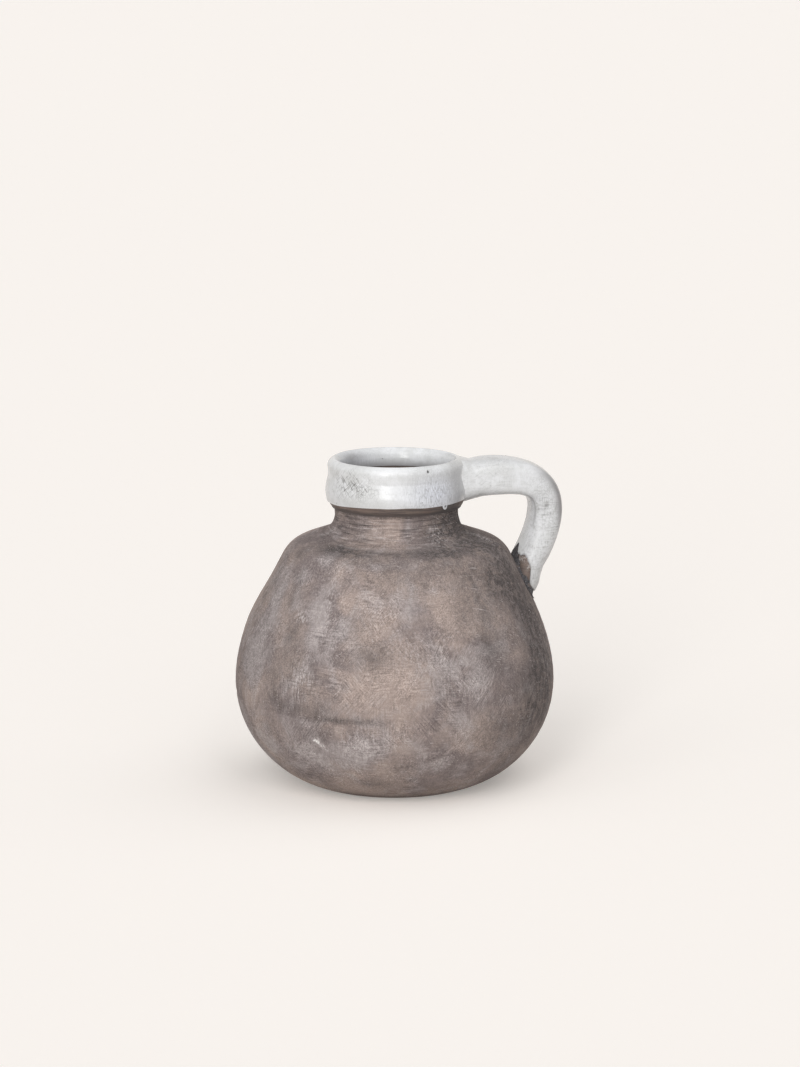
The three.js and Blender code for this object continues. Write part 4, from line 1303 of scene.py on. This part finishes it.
# The lamps: azimuth and elevation, angular width, all in degrees, and strength. The strips stand
# over each other and draw the long highlight on the glaze.
LAMPS = {
    "key": (-18, 36, 90, 0.90),
    "side": (104, 64, 60, 0.55),
    "left": (-80, 45, 60, 0.09),
    "front": (9, 40, 11, 0.14),
    "strip_2": (-23, 2, 17, 0.36),
    "strip_14": (-23, 14, 17, 0.34),
    "strip_26": (-23, 26, 17, 0.29),
    "strip_38": (-23, 38, 17, 0.24),
    "strip_50": (-23, 50, 17, 0.17),
}
FLOOR_REACH = 30.0
SENSOR_MM = 36.0


class JUG_OT_stage(bpy.types.Operator):
    """Sets the pale floor, the backdrop, the lamps and the camera"""

    bl_idname = "jug.stage"
    bl_label = "Stage"

    def execute(self, context):
        scene, look = context.scene, context.scene.jug_stage
        mesh = bpy.data.meshes.new("paper_floor")
        corners = [(x * FLOOR_REACH, y * FLOOR_REACH, 0) for x, y in ((-1, -1), (1, -1), (1, 1), (-1, 1))]
        mesh.from_pydata(corners, [], [(0, 1, 2, 3)])
        floor = bpy.data.objects.new("paper_floor", mesh)
        scene.collection.objects.link(floor)
        material = bpy.data.materials.new("matte paper")
        add = emptied(material)
        seen = seen_directly(add)
        lit = add("matte", add("blend", seen, linear(look.bounce), linear(look.lit_paper)))
        glowing = add("both", lit, add("glow", linear(look.paper), look.paper_glow))
        add("surface", add("either", seen, lit, glowing))
        mesh.materials.append(material)

        world = bpy.data.worlds.new("studio")
        add = emptied(world)
        air = add("air", linear(look.air), look.ambient)
        add("surroundings", add("either", seen_directly(add), air, add("air", linear(look.paper), 1.0)))
        scene.world = world
        for name, lamp in LAMPS.items():
            sun(name, *lamp)

        camera_data = bpy.data.cameras.new("camera")
        camera_data.sensor_fit = "VERTICAL"
        camera_data.sensor_height = SENSOR_MM
        camera_data.lens = look.focal * SENSOR_MM
        camera = bpy.data.objects.new("camera", camera_data)
        back = towards(look.azimuth, look.elevation)
        target = Vector((0, 0, look.aim_height)) + look.aside * towards(look.azimuth + 90, 0)
        camera.matrix_world = aimed(target + back * look.distance, target)
        scene.collection.objects.link(camera)
        scene.camera = camera
        scene.view_settings.view_transform = "Standard"
        return {"FINISHED"}


class JUG_PT_panel(bpy.types.Panel):
    """Lists the jug's pieces and sizes in the sidebar"""

    bl_idname = "JUG_PT_panel"
    bl_label = "Jug vase"
    bl_space_type = "VIEW_3D"
    bl_region_type = "UI"
    bl_category = "Jug vase"

    def draw(self, context):
        for operator in OPERATORS:
            self.layout.operator(operator.bl_idname)
        for name, group in GROUPS.items():
            box = self.layout.box()
            box.label(text=group.__doc__)
            for key in group.__annotations__:
                box.prop(getattr(context.scene, name), key)


GROUPS = {
    "jug_body": JugBodySizes,
    "jug_collar": JugCollarSizes,
    "jug_handle": JugHandleSizes,
    "jug_clay": JugClayLook,
    "jug_glaze": JugGlazeLook,
    "jug_stage": JugStageLook,
}
OPERATORS = (JUG_OT_bowl, JUG_OT_dome, JUG_OT_collar, JUG_OT_handle, JUG_OT_root_slip, JUG_OT_stage)


def register():
    for cls in (*GROUPS.values(), *OPERATORS, JUG_PT_panel):
        bpy.utils.register_class(cls)
    for name, group in GROUPS.items():
        setattr(bpy.types.Scene, name, PointerProperty(type=group))


def unregister():
    for name in GROUPS:
        delattr(bpy.types.Scene, name)
    for cls in reversed((*GROUPS.values(), *OPERATORS, JUG_PT_panel)):
        bpy.utils.unregister_class(cls)


def main():
    register()
    bpy.ops.jug.stage()
    bpy.ops.jug.bowl()
    bpy.ops.jug.dome()
    bpy.ops.jug.collar()
    bpy.ops.jug.handle()
    bpy.ops.jug.root_slip()


if __name__ == "__main__":
    main()
